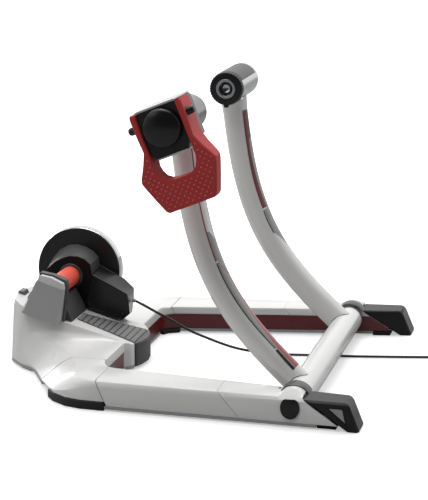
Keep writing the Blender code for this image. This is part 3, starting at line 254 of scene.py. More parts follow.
# Steps, inputs with their defaults, and outputs of each group
GROUPS = {
    "Surface Grain": (grain_steps, {"Grain Size": 900.0, "Patch Size": 14.0, "Gloss": 0.4,
                                    "Gloss Change": 0.06}, ("Height", "Roughness")),
    "Edge Wear": (edge_steps, {"Colour": GREY, "Worn Colour": (0.8, 0.8, 0.8, 1), "Amount": 0.4,
                               "Width": 0.0012}, ("Colour",)),
    "Fine Dust": (dust_steps, {"Colour": GREY, "Dust Colour": (0.5, 0.48, 0.45, 1), "Amount": 0.1},
                  ("Colour",)),
    "Colour Drift": (drift_steps, {"Colour": GREY, "Scale": 9.0, "Amount": 0.06}, ("Colour",)),
}


def build_group(name):
    """Make one of the shader groups, with its named inputs and outputs."""
    steps, inputs, outputs = GROUPS[name]
    group = bpy.data.node_groups.new(name, "ShaderNodeTree")
    for label, default in inputs.items():
        kind = "NodeSocketColor" if isinstance(default, tuple) else "NodeSocketFloat"
        socket = group.interface.new_socket(name=label, in_out="INPUT", socket_type=kind)
        socket.default_value = default
    for label in outputs:
        kind = "NodeSocketColor" if label == "Colour" else "NodeSocketFloat"
        group.interface.new_socket(name=label, in_out="OUTPUT", socket_type=kind)
    inside = group.nodes.new("NodeGroupInput").outputs
    feed(group, group.nodes.new("NodeGroupOutput"), steps(group, inside))


def grouped(tree, name, values):
    """Outputs of a shader group placed in a material with its own values."""
    if name not in bpy.data.node_groups:
        build_group(name)
    node = tree.nodes.new("ShaderNodeGroup")
    node.node_tree = bpy.data.node_groups[name]
    feed(tree, node, values)
    return node.outputs


# Finishes

def finish_material(label, colour, roughness, metallic=0.0, coat=0.0, coat_roughness=0.1, grain=900.0,
                    depth=0.00003, worn=None, wear=0.0, dust=0.08, drift=0.06, specular=0.5, relief=None):
    """Principled finish: drifting colour, worn edges, dust, uneven gloss and a fine relief."""
    material = bpy.data.materials.new(label)
    material.use_nodes = True
    tree = material.node_tree
    last = grouped(tree, "Colour Drift", {"Colour": (*colour, 1.0), "Amount": drift})["Colour"]
    if wear > 0:
        tone = worn or tuple(min(1.0, value * 1.6 + 0.05) for value in colour)
        last = grouped(tree, "Edge Wear", {"Colour": last, "Worn Colour": (*tone, 1.0),
                                           "Amount": wear})["Colour"]
    if dust > 0:
        last = grouped(tree, "Fine Dust", {"Colour": last, "Amount": dust})["Colour"]
    surface = grouped(tree, "Surface Grain", {
        "Grain Size": grain, "Gloss": roughness, "Gloss Change": roughness * 0.35})
    height = relief(tree) if relief else surface["Height"]
    bump = add(tree, "Bump", {"Height": height, "Distance": depth, "Strength": 0.6}, "Normal")
    feed(tree, tree.nodes["Principled BSDF"], {
        "Base Color": last, "Roughness": surface["Roughness"], "Normal": bump, "Metallic": metallic,
        "Coat Weight": coat, "Coat Roughness": coat_roughness, "Specular IOR Level": specular})
    return material


def turned(centre, spacing, metallic=1.0, depth=0.00002):
    """Values of metal with fine rings about a line along Y through centre, as a lathe leaves them."""
    def rings(tree):
        place = add(tree, "TexCoord", output="Object")
        shift = (-centre[0] * MM, 0.0, -centre[1] * MM)
        place = add(tree, "Mapping", {"Vector": place, "Location": shift}, "Vector")
        return add(tree, "TexWave", {"Vector": place, "Scale": spacing, "Distortion": 0.4, "Detail": 1.0},
                   "Fac", wave_type="RINGS", rings_direction="Y")
    return dict(relief=rings, metallic=metallic, depth=depth, grain=500.0, dust=0.03)


def sleeve_lines(tree):
    """Fine lines round the roller."""
    place = add(tree, "TexCoord", output="Object")
    across = add(tree, "SeparateXYZ", {"Vector": place}, "Y")
    return add(tree, "TexNoise", {"W": across, "Scale": 900.0}, "Fac", noise_dimensions="1D")


def second_tone(material, colour, way, start, width, period=0.0, share=0.0):
    """Lay a second colour past start along way, or over a share of each period, in millimetres."""
    tree = material.node_tree
    shader = tree.nodes["Principled BSDF"]
    place = add(tree, "TexCoord", output="Object")
    along = add(tree, "VectorMath", {0: place, 1: Vector(way).normalized()}, "Value",
                operation="DOT_PRODUCT")
    last = maths(tree, "SUBTRACT", along, start * MM)
    if period:
        half = period * MM / 2
        last = maths(tree, "SUBTRACT", maths(tree, "PINGPONG", last, half), half * (1 - share))
    zone = spread(tree, last, 0.0, width * MM)
    first = shader.inputs["Base Color"].links[0].from_socket
    feed(tree, shader, {"Base Color": blend(tree, zone, first, (*colour, 1.0))})


SATIN = dict(grain=1500.0, depth=0.00004, coat=0.15, wear=0.2, dust=0.06)
STRIPE = dict(coat=0.3, grain=800.0, depth=0.00001, dust=0.0)
POLISHED = 0.000004

# Label, colour or the setting that holds it, roughness and other values of each finish
LOOKS = {
    # The record's slots
    "white_plastic": ("Gloss White Moulding", "white", 0.3, dict(
        coat=0.28, coat_roughness=0.18, grain=700.0, depth=0.00002, dust=0.05, drift=0.03)),
    "white_paint": ("White Powder Coat", "white", 0.24, dict(
        coat=0.5, coat_roughness=0.08, grain=420.0, dust=0.03, drift=0.03)),
    "pan_grey": ("Grey Pan Moulding", (0.42, 0.43, 0.44), 0.5, dict(grain=1100.0)),
    "dark_grey": ("Dark Grey Moulding", "dark_grey", 0.42, dict(
        grain=1300.0, depth=0.00006, wear=0.35, dust=0.06)),
    "mid_grey": ("Satin Grey Moulding", "mid_grey", 0.34, SATIN),
    "black_plastic": ("Black Moulding", "black", 0.26, dict(
        grain=1300.0, coat=0.1, wear=0.25, worn=(0.05, 0.05, 0.052), dust=0.0, specular=0.3)),
    "black_rubber": ("Black Rubber", (0.013, 0.013, 0.013), 0.5, dict(
        grain=700.0, depth=0.00006, dust=0.04, specular=0.35)),
    "red_plastic": ("Red Lever Moulding", "red", 0.42, dict(
        grain=1100.0, depth=0.00005, wear=0.3, worn=(0.55, 0.09, 0.08), dust=0.0, specular=0.05)),
    "red_inset": ("Deep Red Strip", "deep_red", 0.3, dict(coat=0.2, dust=0.04)),
    "roller_red": ("Roller Sleeve", "roller", 0.5, dict(
        relief=sleeve_lines, depth=0.00005, grain=500.0, dust=0.03)),
    "silver": ("Silver Satin Metal", (0.60, 0.61, 0.62), 0.28, dict(
        metallic=0.75, grain=1600.0, depth=0.00002, dust=0.03)),
    "steel": ("Machined Steel", (0.52, 0.52, 0.53), 0.3, turned(FLYWHEEL, 900.0)),
    "chrome": ("Bright Chrome", (0.78, 0.79, 0.81), 0.11, turned(FLYWHEEL, 700.0, depth=POLISHED)),
    "cable_black": ("Black Cable Sheath", (0.012, 0.012, 0.012), 0.4, dict(grain=600.0, dust=0.05)),
    # Solids that look unlike the others of their slot
    # The tread's grooves are painted shade: dark lines between the ribs
    "tongue_tread": ("Ribbed Tread Moulding", (0.16, 0.16, 0.163), 0.5, dict(
        grain=1300.0, depth=0.00006, wear=0.2, worn=(0.28, 0.28, 0.285), dust=0.06)),
    # The near cover's pale top band is a painted highlight, where its bevelled top catches the light
    "near_cover": ("Near Cover Moulding", "mid_grey", 0.34, SATIN),
    # The collar's near face is darker: the black of its bearing ring, with painted shade
    "roller_collar": ("Collar Moulding", (0.07, 0.07, 0.072), 0.42, dict(
        grain=1300.0, depth=0.00006, wear=0.3, dust=0.04, specular=0.15)),
    # The dark line round the rim is painted shade in its groove
    "flywheel_rim": ("Rim Chrome", (0.72, 0.73, 0.75), 0.12, turned(FLYWHEEL, 700.0, depth=POLISHED)),
    "clamp_dome": ("Glossy Dome", (0.010, 0.010, 0.0105), 0.24, dict(
        coat=0.15, grain=1300.0, depth=0.00001, dust=0.0, specular=0.3)),
    "cup": ("Dark Chrome", (0.42, 0.43, 0.44), 0.13, turned(HEAD, 700.0, depth=POLISHED)),
    "rear_lug": ("Lug Moulding", (0.16, 0.16, 0.163), 0.45, dict(grain=1100.0, dust=0.05)),
    "end_cap": ("End Cap Moulding", (0.014, 0.014, 0.0145), 0.42, dict(
        grain=1300.0, coat=0.2, coat_roughness=0.12, wear=0.15, worn=(0.05, 0.05, 0.05), dust=0.0,
        specular=0.14)),
    "pivot_ring": ("Dark Pivot Ring", (0.06, 0.06, 0.062), 0.36, dict(grain=1100.0, dust=0.0)),
    "near_head_barrel": ("Dark Turned Steel", (0.2, 0.2, 0.205), 0.24, turned(HEAD, 500.0, metallic=0.9)),
    # Added pieces
    # The studs' red, lighter than the lever's, is a painted highlight
    "studs": ("Lever Stud Red", (0.62, 0.11, 0.09), 0.25, dict(coat=0.5, dust=0.0)),
    "cap_plate": ("Cap Plate Grey", (0.34, 0.35, 0.36), 0.4, dict(grain=1200.0)),
    "seal": ("Glossy Seal", (0.014, 0.014, 0.014), 0.16, dict(coat=0.6, dust=0.0)),
    # Grey rings on the black seal's lips are a painted highlight
    "seal_lips": ("Seal Lip Grey", (0.16, 0.17, 0.17), 0.25, dict(coat=0.5, dust=0.0)),
    "screws": ("Blackened Screw Steel", (0.05, 0.05, 0.052), 0.35, dict(metallic=0.9, dust=0.0)),
    "stripe_red": ("Stripe Red", (0.34, 0.045, 0.045), 0.3, STRIPE),
    "stripe_deep": ("Stripe Deep Red", (0.15, 0.03, 0.032), 0.3, STRIPE),
    "stripe_black": ("Stripe Black", (0.012, 0.013, 0.014), 0.3, STRIPE),
    "stripe_grey": ("Stripe Grey", (0.30, 0.30, 0.295), 0.3, STRIPE),
}

# Where second tones lie, in millimetres. The rim's line of painted shade comes once in RIM_PERIOD, longer
# than the rim
# Start of the painted shade in the tread's grooves
GROOVE_SHADE_START = TREAD_START + (0.5 - GROOVE_SHARE / 2) * RIB_PITCH
# Start of the painted highlight on the near cover's bevelled top
COVER_HIGHLIGHT_START = 59.7
# Start of the collar's darker near face: its black bearing ring, with painted shade
COLLAR_FACE_SHADE_Y = 31.5
RIM_SHADE_LINE_Y = 79.0
RIM_PERIOD = 100.0
RIM_SHADE_LINE_SHARE = 0.022

# Colour, way, start, width of the change, period and share of a solid's second tone: painted shade in the
# tread's grooves, a painted highlight on the cover's top, the collar's black near face with painted shade,
# and painted shade in the groove round the rim
SECOND_TONES = {
    "tongue_tread": ((0.012, 0.012, 0.013), (1, 0, 0), GROOVE_SHADE_START, 0.2, RIB_PITCH, 1.5 * GROOVE_SHARE),
    "near_cover": ((0.62, 0.62, 0.62), (0.316, 0, 0.949), COVER_HIGHLIGHT_START, 0.3),
    "roller_collar": ((0.008, 0.008, 0.008), (0, -1, 0), -COLLAR_FACE_SHADE_Y, 0.8),
    "flywheel_rim": ((0.10, 0.10, 0.105), (0, 1, 0), RIM_SHADE_LINE_Y - RIM_PERIOD / 2, 0.2, RIM_PERIOD,
                     RIM_SHADE_LINE_SHARE),
}


def look(key):
    """Material of one of the finishes, made the first time that it is asked for."""
    label, colour, roughness, values = LOOKS[key]
    if label in bpy.data.materials:
        return bpy.data.materials[label]
    if isinstance(colour, str):
        colour = tuple(getattr(bpy.context.scene.trainer_colours, colour))
    material = finish_material(label, colour, roughness, **values)
    if key in SECOND_TONES:
        second_tone(material, *SECOND_TONES[key])
    return material


def look_of(node):
    """Material of a solid: its own, its pair's or its slot's."""
    pair = node.removeprefix("near_").removeprefix("far_")
    return look(next((key for key in (node, pair) if key in LOOKS), SLOTS[node]))


# Mesh helpers

def new_object(name, mesh, body, material):
    obj = bpy.data.objects.new(name, mesh)
    bpy.context.scene.collection.objects.link(obj)
    mesh.materials.append(material)
    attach(obj, body)
    return obj


def full_turn(count):
    """Angles of a full turn in even steps."""
    return [2 * math.pi * i / count for i in range(count)]


def bridge(bm, rings, around=False):
    """Join rings of points by faces, and close the two ends unless the rings run all the way round."""
    count = len(rings[0])
    for a, b in zip(rings, rings[1:] + rings[:1] if around else rings[1:]):
        for i in range(count):
            j = (i + 1) % count
            bm.faces.new((a[i], a[j], b[j], b[i]))
    if not around:
        bm.faces.new(rings[0])
        bm.faces.new(rings[-1])


def revolve(bm, profile, centre, steps, arc=None, side=1):
    """Turn a profile of (radius, y) about a line along Y, all round or through an arc in degrees."""
    low, high = arc or (0, 360)
    rings = []
    for i in range(steps + 1 if arc else steps):
        angle = math.radians(mix(low, high, i / steps))
        rings.append([bm.verts.new(mm(centre[0] + radius * math.cos(angle), side * y,
                                      centre[1] + radius * math.sin(angle))) for radius, y in profile])
    bridge(bm, rings, around=not arc)


def shell(bm, name, body, material, crease=35.0):
    """Piece made of closed shells, smooth but for edges sharper than the crease."""
    bmesh.ops.recalc_face_normals(bm, faces=bm.faces)
    mesh = bpy.data.meshes.new(name)
    bm.to_mesh(mesh)
    bm.free()
    mesh.shade_smooth()
    mesh.set_sharp_from_angle(angle=math.radians(crease))
    return new_object(name, mesh, body, material)


def softened(node, width, segments=2, ends=None, round_width=0.0):
    """Copy of a solid with its edges rounded, which stands for the solid."""
    source = NODES[node]
    bm = bmesh.new()
    bm.from_mesh(source.data)
    bmesh.ops.remove_doubles(bm, verts=bm.verts, dist=0.00001)
    bmesh.ops.dissolve_limit(bm, angle_limit=math.radians(0.6), verts=bm.verts, edges=bm.edges)
    if ends:
        edges = [edge for edge in bm.edges if all(ends(vert.co) for vert in edge.verts)]
        bmesh.ops.bevel(bm, geom=edges, offset=round_width, segments=4, affect="EDGES", clamp_overlap=True)
    mesh = bpy.data.meshes.new(node + "_dressed")
    bm.to_mesh(mesh)
    bm.free()
    if "custom_normal" in mesh.attributes:
        mesh.attributes.remove(mesh.attributes["custom_normal"])
    mesh.shade_smooth()
    obj = new_object(node + "_dressed", mesh, source["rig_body"], look_of(node))
    bevel = obj.modifiers.new("edges", "BEVEL")
    bevel.limit_method = "ANGLE"
    bevel.angle_limit = math.radians(30)
    bevel.width = width
    bevel.segments = segments
    bevel.harden_normals = True
    bevel.use_clamp_overlap = True
    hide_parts(node)
    return obj


# Cord: its radius in metres, its route in millimetres and the lead's tilt in degrees

CORD_RADIUS = 0.002
LIE = 2.3
LEAD_START = (-115.0, 52.0, 85.0)
LEAD_TILT = 25.0
LEAD_STRAIGHT = 4.0
LEAD_ROUTE = ((-102, 52, 79), (-80, 53, 67.5), (-64, 54, 60), (-43, 55, 48.5), (-23, 56, 38.5),
              (0, 58, 29.5), (21, 61, 21.5), (42, 65, 14.5), (63, 72, 9), (90, 79, 5), (122, 86, LIE),
              (160, 91, LIE), (212, 96, LIE), (280, 107, LIE), (341, 118.5, LIE), (352, 120, LIE))
LEAD_POINTS = 64
COIL_START = 356.3
COIL_LEAD_IN = 4.0
COIL_ASIDE = 6.0
COIL_TURNS = 9
COIL_PITCH = 4.6
COIL_INNER = 12.5
CLIMB_TURNS = 0.5
COIL_EXIT = (9, 13)
TURN_STEPS = 24


def smooth_route(places, count):
    """Even points on a smooth curve through the chosen places."""
    ends = [places[0] * 2 - places[1]] + places + [places[-1] * 2 - places[-2]]
    fine = []
    for i in range(1, len(ends) - 2):
        a, b, c, d = ends[i - 1:i + 3]
        for k in range(TURN_STEPS):
            t = k / TURN_STEPS
            fine.append(0.5 * ((2 * b) + (c - a) * t + (2 * a - 5 * b + 4 * c - d) * t ** 2
                               + (3 * b - a - 3 * c + d) * t ** 3))
    fine.append(places[-1])
    lengths = [0.0]
    for a, b in zip(fine, fine[1:]):
        lengths.append(lengths[-1] + (b - a).length)
    made = []
    k = 0
    for i in range(count):
        goal = lengths[-1] * i / (count - 1)
        while k < len(lengths) - 2 and lengths[k + 1] < goal:
            k += 1
        t = (goal - lengths[k]) / max(lengths[k + 1] - lengths[k], 1e-9)
        made.append(fine[k].lerp(fine[k + 1], min(t, 1.0)))
    return made


def coil_route():
    """Spiral in on the floor, then out on the layer above, and off to the plug."""
    half_turns = COIL_TURNS / 2
    outer = COIL_INNER + COIL_PITCH * half_turns
    last_y = LEAD_ROUTE[-1][1]
    centre = Vector((COIL_START + COIL_LEAD_IN + outer + COIL_ASIDE, last_y - outer))
    places = [Vector((COIL_START, last_y, LIE)), Vector((COIL_START + COIL_LEAD_IN, last_y, LIE))]
    for i in range(COIL_TURNS * TURN_STEPS + 1):
        turn = i / TURN_STEPS
        if turn <= half_turns:
            radius = outer - COIL_PITCH * turn
        else:
            radius = COIL_INNER + COIL_PITCH * (turn - half_turns)
        climb = min(max((turn - half_turns) / CLIMB_TURNS + 0.5, 0.0), 1.0)
        climb = climb * climb * (3 - 2 * climb)
        angle = math.pi / 2 - 2 * math.pi * turn
        places.append(Vector((centre.x + radius * math.cos(angle), centre.y + radius * math.sin(angle),
                              LIE + COIL_PITCH * climb)))
    way = (places[-1] - places[-2]).normalized()
    return places + [places[-1] + way * reach for reach in COIL_EXIT]


def whole_route():
    tilt = math.radians(LEAD_TILT)
    start = Vector(LEAD_START)
    straight = start + Vector((math.cos(tilt), 0.0, -math.sin(tilt))) * LEAD_STRAIGHT
    lead = smooth_route([straight] + [Vector(p) for p in LEAD_ROUTE], LEAD_POINTS)
    return [p * MM for p in [start] + lead + coil_route()]


class TRAINER_OT_cord(bpy.types.Operator):
    """Lay the brake's cord from its gland to the coil and the plug beside it"""
    bl_idname = "trainer.cord"
    bl_label = "Cord"

    def execute(self, context):
        route = whole_route()
        curve = bpy.data.curves.new("brake_cord", "CURVE")
        curve.dimensions = "3D"
        curve.bevel_depth = CORD_RADIUS
        curve.bevel_resolution = 4
        curve.use_fill_caps = True
        spline = curve.splines.new("POLY")
        spline.points.add(len(route) - 1)
        for spot, place in zip(spline.points, route):
            spot.co = (*place, 1.0)
        spline.use_smooth = True
        cord = bpy.data.objects.new("brake_cord", curve)
        context.scene.collection.objects.link(cord)
        curve.materials.append(look("cable_black"))
        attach(cord, "base")
        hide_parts("cord_lead", "cord_coil")
        plug = softened("cord_plug", 0.0004)
        length = sum((b - a).length for a, b in zip(route, route[1:]))
        tuple(route[0])
        return {"FINISHED"}


# Pieces

# Rounding of the solids whose edges show, as a share of the edge setting
EDGE_SHARES = {
    "clamp_block": 1.0, "clamp_dome": 1.0, "clamp_top_plate": 0.4, "near_cover": 1.0, "near_bracket": 1.0,
    "roller_collar": 1.2, "magnet_housing": 1.1, "magnet_lid": 0.6, "brake_base": 1.0, "near_end_cap": 1.2,
    "far_end_cap": 1.2, "tongue_nose": 0.8, "near_corner_foot": 1.0, "far_corner_foot": 1.0,
    "near_pivot_plug": 0.5, "far_pivot_plug": 0.5, "near_pivot_ring": 0.4, "far_pivot_ring": 0.4,
    "rear_shell": 0.5, "near_corner_cover": 0.5, "far_corner_cover": 0.5, "near_leg_cover": 0.4,
    "far_leg_cover": 0.4, "near_leg_front": 0.4, "far_leg_front": 0.4, "tongue_tread": 0.15,
    "far_head_cover": 0.2, "rear_lug": 0.5, "flywheel_rim": 0.5, "near_head_barrel": 0.4,
    "far_head_barrel": 0.3, "near_cup": 0.4, "far_cup": 0.4, "cord_gland": 0.2, "lever_pin": 0.3,
}


class TRAINER_OT_solids(bpy.types.Operator):
    """Give every solid its finish and round the edges of those that show"""
    bl_idname = "trainer.solids"
    bl_label = "Solids and finishes"

    def execute(self, context):
        for name, node in NODES.items():
            node.data.materials.clear()
            node.data.materials.append(look_of(name))
        for name, share in EDGE_SHARES.items():
            softened(name, context.scene.trainer_sizes.edge * share)
        return {"FINISHED"}


# In the clamp's turned frame, in millimetres: one side of the lever's outlines, its studs and the lip
LEVER_OUTER = [(38, -31), (40, -27), (39.5, 5), (38.5, 24), (46, 40), (56, 58), (57.5, 63), (56, 69),
               (48, 90), (39, 112), (35, 115.5)]
LEVER_INNER = [(31.2, -30), (31.2, 50), (29, 58), (25, 66), (18, 71), (10, 72.5)]
LEVER_TOP = -25.0
LEVER_ROUND = 3.0
STUD_STEPS = 10
STUD_REACH = 8
STUD_ROWS = 18
STUD_FIRST = 26.0
STUD_ROW_SPACE = 4.9
STUD_SPACE = 9.3
STUD_MARGINS = (5.2, 4.6)
STUD_PROFILE = ((1.0, -0.2), (1.0, 0.25), (0.75, 0.75), (0.35, 1.0))
CLAMP_LIP_HALF = 23.5
CLAMP_LIP_PROFILE = ((39.0, -285.9), (41.2, -285.9), (41.2, -196.5), (40.2, -196.5), (40.2, -285.1),
                     (39.0, -285.1))


def clamp_place(u, w, y):
    """World place, in metres, of a point in the clamp's turned frame."""
    turn = math.radians(CLAMP_TURN)
    return mm(HEAD[0] + u * math.cos(turn) + w * math.sin(turn), y,
              HEAD[1] + u * math.sin(turn) - w * math.cos(turn))


def at_lever_top(place):
    turn = math.radians(CLAMP_TURN)
    across = (place.x / MM - HEAD[0]) * math.sin(turn) - (place.z / MM - HEAD[1]) * math.cos(turn)
    return across < LEVER_TOP


def inside_outline(u, w, outline):
    """True where a point lies inside a closed outline."""
    hit = False
    for (u0, w0), (u1, w1) in zip(outline, outline[1:] + outline[:1]):
        if (w0 > w) != (w1 > w) and u < (u1 - u0) * (w - w0) / (w1 - w0) + u0:
            hit = not hit
    return hit


def edge_distance(u, w, outline):
    """Shortest distance from a point to an outline."""
    least = math.inf
    spot = Vector((u, w))
    for a, b in zip(outline, outline[1:] + outline[:1]):
        a, b = Vector(a), Vector(b)
        t = max(0.0, min(1.0, (spot - a).dot(b - a) / (b - a).length_squared))
        least = min(least, (spot - (a + (b - a) * t)).length)
    return least


def stud_places():
    """Places of the studs on the lever's face, clear of its edges."""
    outer, inner = [side + [(-u, w) for u, w in reversed(side)] for side in (LEVER_OUTER, LEVER_INNER)]
    for row in range(STUD_ROWS):
        w = STUD_FIRST + row * STUD_ROW_SPACE
        for step in range(-STUD_REACH, STUD_REACH + 1):
            u = (step + row % 2 / 2) * STUD_SPACE
            on_face = inside_outline(u, w, outer) and not inside_outline(u, w, inner)
            if on_face and all(edge_distance(u, w, outline) >= margin
                               for outline, margin in zip((outer, inner), STUD_MARGINS)):
                yield u, w


class TRAINER_OT_lever(bpy.types.Operator):
    """Round the clamp lever, set its grip studs, lighter as a painted highlight, and fit the lip under the
    clamp
    """
    bl_idname = "trainer.lever"
    bl_label = "Clamp lever"

    def execute(self, context):
        sizes = context.scene.trainer_sizes
        softened("clamp_lever", sizes.edge * 0.9, segments=3, ends=at_lever_top,
                 round_width=LEVER_ROUND * MM)
        radius = sizes.stud_radius / MM
        height = sizes.stud_height / MM
        bm = bmesh.new()
        for u, w in stud_places():
            rings = []
            for reach, rise in STUD_PROFILE:
                rings.append([bm.verts.new(clamp_place(
                    u + radius * reach * math.cos(angle), w + radius * reach * math.sin(angle),
                    -LEVER_FRONT - height * rise)) for angle in full_turn(STUD_STEPS)])
            bridge(bm, rings)
        # The studs take a lighter red as a painted highlight
        shell(bm, "lever_studs", "lever", look("studs"), 50)
        bm = bmesh.new()
        bridge(bm, [[bm.verts.new(clamp_place(u, w, y)) for w, y in CLAMP_LIP_PROFILE]
                    for u in (-CLAMP_LIP_HALF, CLAMP_LIP_HALF)])
        shell(bm, "clamp_lip", "a_frame", look("silver"), 30)
        return {"FINISHED"}


def arm_point(share):
    """Middle of an arm in the plane of its bow, from the head at 0 to the pivot at 1."""
    chord = Vector((PIVOT[0] - HEAD[0], PIVOT[1] - HEAD[1]))
    sideways = Vector((chord.y, -chord.x)).normalized()
    bow = ARM_BOW * math.sin(math.pi * share) - ARM_SKEW * math.sin(2 * math.pi * share)
    return Vector(HEAD) + chord * share + sideways * bow


def arm_frame(share, side):
    """Middle of an arm, its way and two directions across it, in millimetres."""
    centre = arm_point(share)
    ahead = arm_point(min(share + 0.01, 1.0)) - arm_point(max(share - 0.01, 0.0))
    length = Vector((PIVOT[0] - HEAD[0], PIVOT[1] - HEAD[1])).length
    way = Vector((ahead.x, 0.0, ahead.y)).normalized()
    way = (way + Vector((0, side * (ARM_Y[1] - ARM_Y[0]) / length, 0))).normalized()
    middle = Vector((centre.x, side * mix(*ARM_Y, share), centre.y))
    first = way.cross(Vector((0, 1, 0))).normalized()
    return middle, way, first, way.cross(first)


def slide_to(place, way, axis, radius, sign):
    """Point moved along way on to a cylinder along Y about axis."""
    dx = place.x - axis[0]
    dz = place.z - axis[1]
    a = way.x ** 2 + way.z ** 2
    b = 2 * (dx * way.x + dz * way.z)
    c = dx ** 2 + dz ** 2 - radius ** 2
    return place + way * ((-b + sign * math.sqrt(max(b * b - 4 * a * c, 0.0))) / (2 * a))


def arm_ring(bm, share, radius, side, seat=None):
    """Ring of points round an arm, cut to the tube that it meets where a seat is given."""
    middle, way, first, second = arm_frame(share, side)
    ring = []
    for angle in full_turn(ARM_STEPS):
        place = middle + (first * math.cos(angle) + second * math.sin(angle)) * radius
        if seat:
            place = slide_to(place, way, *seat)
        ring.append(bm.verts.new(place * MM))
    return ring


# An arm's gap to what it meets, its points round, where its rings lie as shares, and its flare
SEAT_GAP = 0.9
ARM_STEPS = 56
HEAD_SHARE = 0.03
FLARE_SHARE = 0.085
EVEN_SHARES = (0.1, 0.9)
EVEN_RINGS = 40
TUBE_SHARE = 0.99
HEAD_FLARE = 1.2
FLARE_END = 0.35


class TRAINER_OT_arms(bpy.types.Operator):
    """Build both arms round and smooth, with the flare at the head"""
    bl_idname = "trainer.arms"
    bl_label = "Arms"

    def execute(self, context):
        head = (HEAD, HEAD_RADIUS + SEAT_GAP, 1)
        tube = (PIVOT, CROSS_RADIUS + SEAT_GAP, -1)
        shares = [mix(*EVEN_SHARES, i / EVEN_RINGS) for i in range(EVEN_RINGS + 1)]
        for side, label in SIDES:
            bm = bmesh.new()
            bore = ARM_RADIUS - ARM_WALL
            rings = [arm_ring(bm, HEAD_SHARE, ARM_RADIUS + HEAD_FLARE, side, head),
                     arm_ring(bm, FLARE_SHARE, ARM_RADIUS + FLARE_END, side)]
            rings += [arm_ring(bm, share, ARM_RADIUS, side) for share in shares]
            rings.append(arm_ring(bm, TUBE_SHARE, ARM_RADIUS, side, tube))
            rings.append(arm_ring(bm, TUBE_SHARE, bore, side, tube))
            rings += [arm_ring(bm, share, bore, side) for share in reversed(shares)]
            rings.append(arm_ring(bm, HEAD_SHARE, bore, side, head))
            bridge(bm, rings, around=True)
            arm = shell(bm, label + "_arm_dressed", "a_frame", look("white_paint"), 40)
            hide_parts(label + "_arm")
        return {"FINISHED"}


# A stripe's steps across, the share of the arm from row to row and its depth under the paint
STRIPE_STEPS = 8
ROW_SHARE = 0.012
STRIPE_SUNK = 0.2

# Stripes on the outer and the inner face of each arm: (share, lower angle, upper angle)
OUTER_STRIPES = (
    ("red", ((0.075, 44, 49), (0.30, 44, 49), (0.49, 43.5, 48.5))),
    ("black", ((0.495, 44.5, 49), (0.55, 46, 50), (0.69, 43, 47.5), (0.81, 38, 42.5), (0.85, 36, 41))),
    ("black", ((0.855, 33, 45), (0.90, 35, 49), (0.938, 37, 51))),
    ("red", ((0.496, 35, 43.4), (0.513, 22, 30), (0.539, 4, 12), (0.55, 0.5, 8))),
    ("grey", ((0.383, 32, 43), (0.418, 0.5, 43), (0.485, 0.5, 43), (0.492, 0.5, 34), (0.51, 0.5, 21),
              (0.532, 0.5, 5))),
    ("grey", ((0.502, 32, 44), (0.518, 22, 45), (0.545, 9, 45.5), (0.56, 5.5, 45.5), (0.66, 5.5, 43),
              (0.71, 12.5, 42), (0.78, 18.5, 39), (0.85, 26, 33), (0.90, 29.5, 34), (0.938, 32, 36))),
)
INNER_STRIPES = (
    ("deep", ((0.078, 0.5, 39), (0.185, 0.5, 41), (0.20, 24, 41), (0.25, 29, 42), (0.32, 26, 44),
             (0.40, 22, 43), (0.445, 17, 43), (0.462, 12, 43))),
    ("red", ((0.078, 39.5, 43), (0.25, 42.5, 46), (0.32, 44.5, 48), (0.40, 43.5, 47.5), (0.462, 43.5, 47))),
    ("grey", ((0.19, 0.5, 8), (0.20, 0.5, 23.5), (0.25, 0.5, 28.5), (0.32, 0.5, 25.5), (0.40, 0.5, 21.5),
              (0.445, 0.5, 16.5), (0.462, 0.5, 11.5), (0.47, 0.5, 42), (0.565, 0.5, 43),
              (0.597, 0.5, 22), (0.633, 0.5, 2))),
    ("black", ((0.47, 43, 47.5), (0.51, 45, 50), (0.568, 44, 48))),
)

# Band along the edge that faces the camera, other on each arm
EDGE_STRIPES = {
    "near": (("red", ((0.553, -25, 5), (0.66, -25, 5), (0.71, -25, 12), (0.78, -25, 18), (0.86, -25, 26),
                      (0.938, -25, 31))),),
    "far": (("deep", ((0.64, -25, -10), (0.93, -25, -10))),),
}


def arm_stripe(bm, side, sign, stations, proud):
    """Thin band on an arm. Each station is (share, lower angle, upper angle) in degrees."""
    fine = []
    for a, b in zip(stations, stations[1:]):
        count = max(1, round((b[0] - a[0]) / ROW_SHARE))
        fine += [[mix(p, q, i / count) for p, q in zip(a, b)] for i in range(count)]
    rows = []
    for share, low, high in fine + [stations[-1]]:
        middle, _, first, second = arm_frame(share, side)
        angles = [sign * math.radians(mix(low, high, j / STRIPE_STEPS)) for j in range(STRIPE_STEPS + 1)]
        row = []
        for reach, along in ((ARM_RADIUS - STRIPE_SUNK, angles), (ARM_RADIUS + proud, reversed(angles))):
            row += [bm.verts.new((middle + (first * math.cos(angle) + second * math.sin(angle)) * reach) * MM)
                    for angle in along]
        rows.append(row)
    bridge(bm, rows)


class TRAINER_OT_stripes(bpy.types.Operator):
    """Lay the plain coloured stripes along both arms"""
    bl_idname = "trainer.stripes"
    bl_label = "Arm stripes"

    def execute(self, context):
        proud = context.scene.trainer_sizes.stripe_proud / MM
        for side, label in SIDES:
            faces = ((OUTER_STRIPES, -side), (INNER_STRIPES, side), (EDGE_STRIPES[label], 1))
            for colour in ("red", "deep", "black", "grey"):
                bm = bmesh.new()
                for stripes, sign in faces:
                    for key, stations in stripes:
                        if key == colour:
                            arm_stripe(bm, side, sign, stations, proud)
                shell(bm, label + "_stripe_" + colour, "a_frame", look("stripe_" + colour), 50)
        return {"FINISHED"}


# The plate's corners (x, z), its faces' places from the leg's outer face and its edge, in millimetres
PLATE_OUTLINE = ((256.0, 32.0), (275.2, 32.0), (279.6, 12.6))
PLATE_DEPTHS = (-1.5, -0.5)
PLATE_EDGE = 0.3


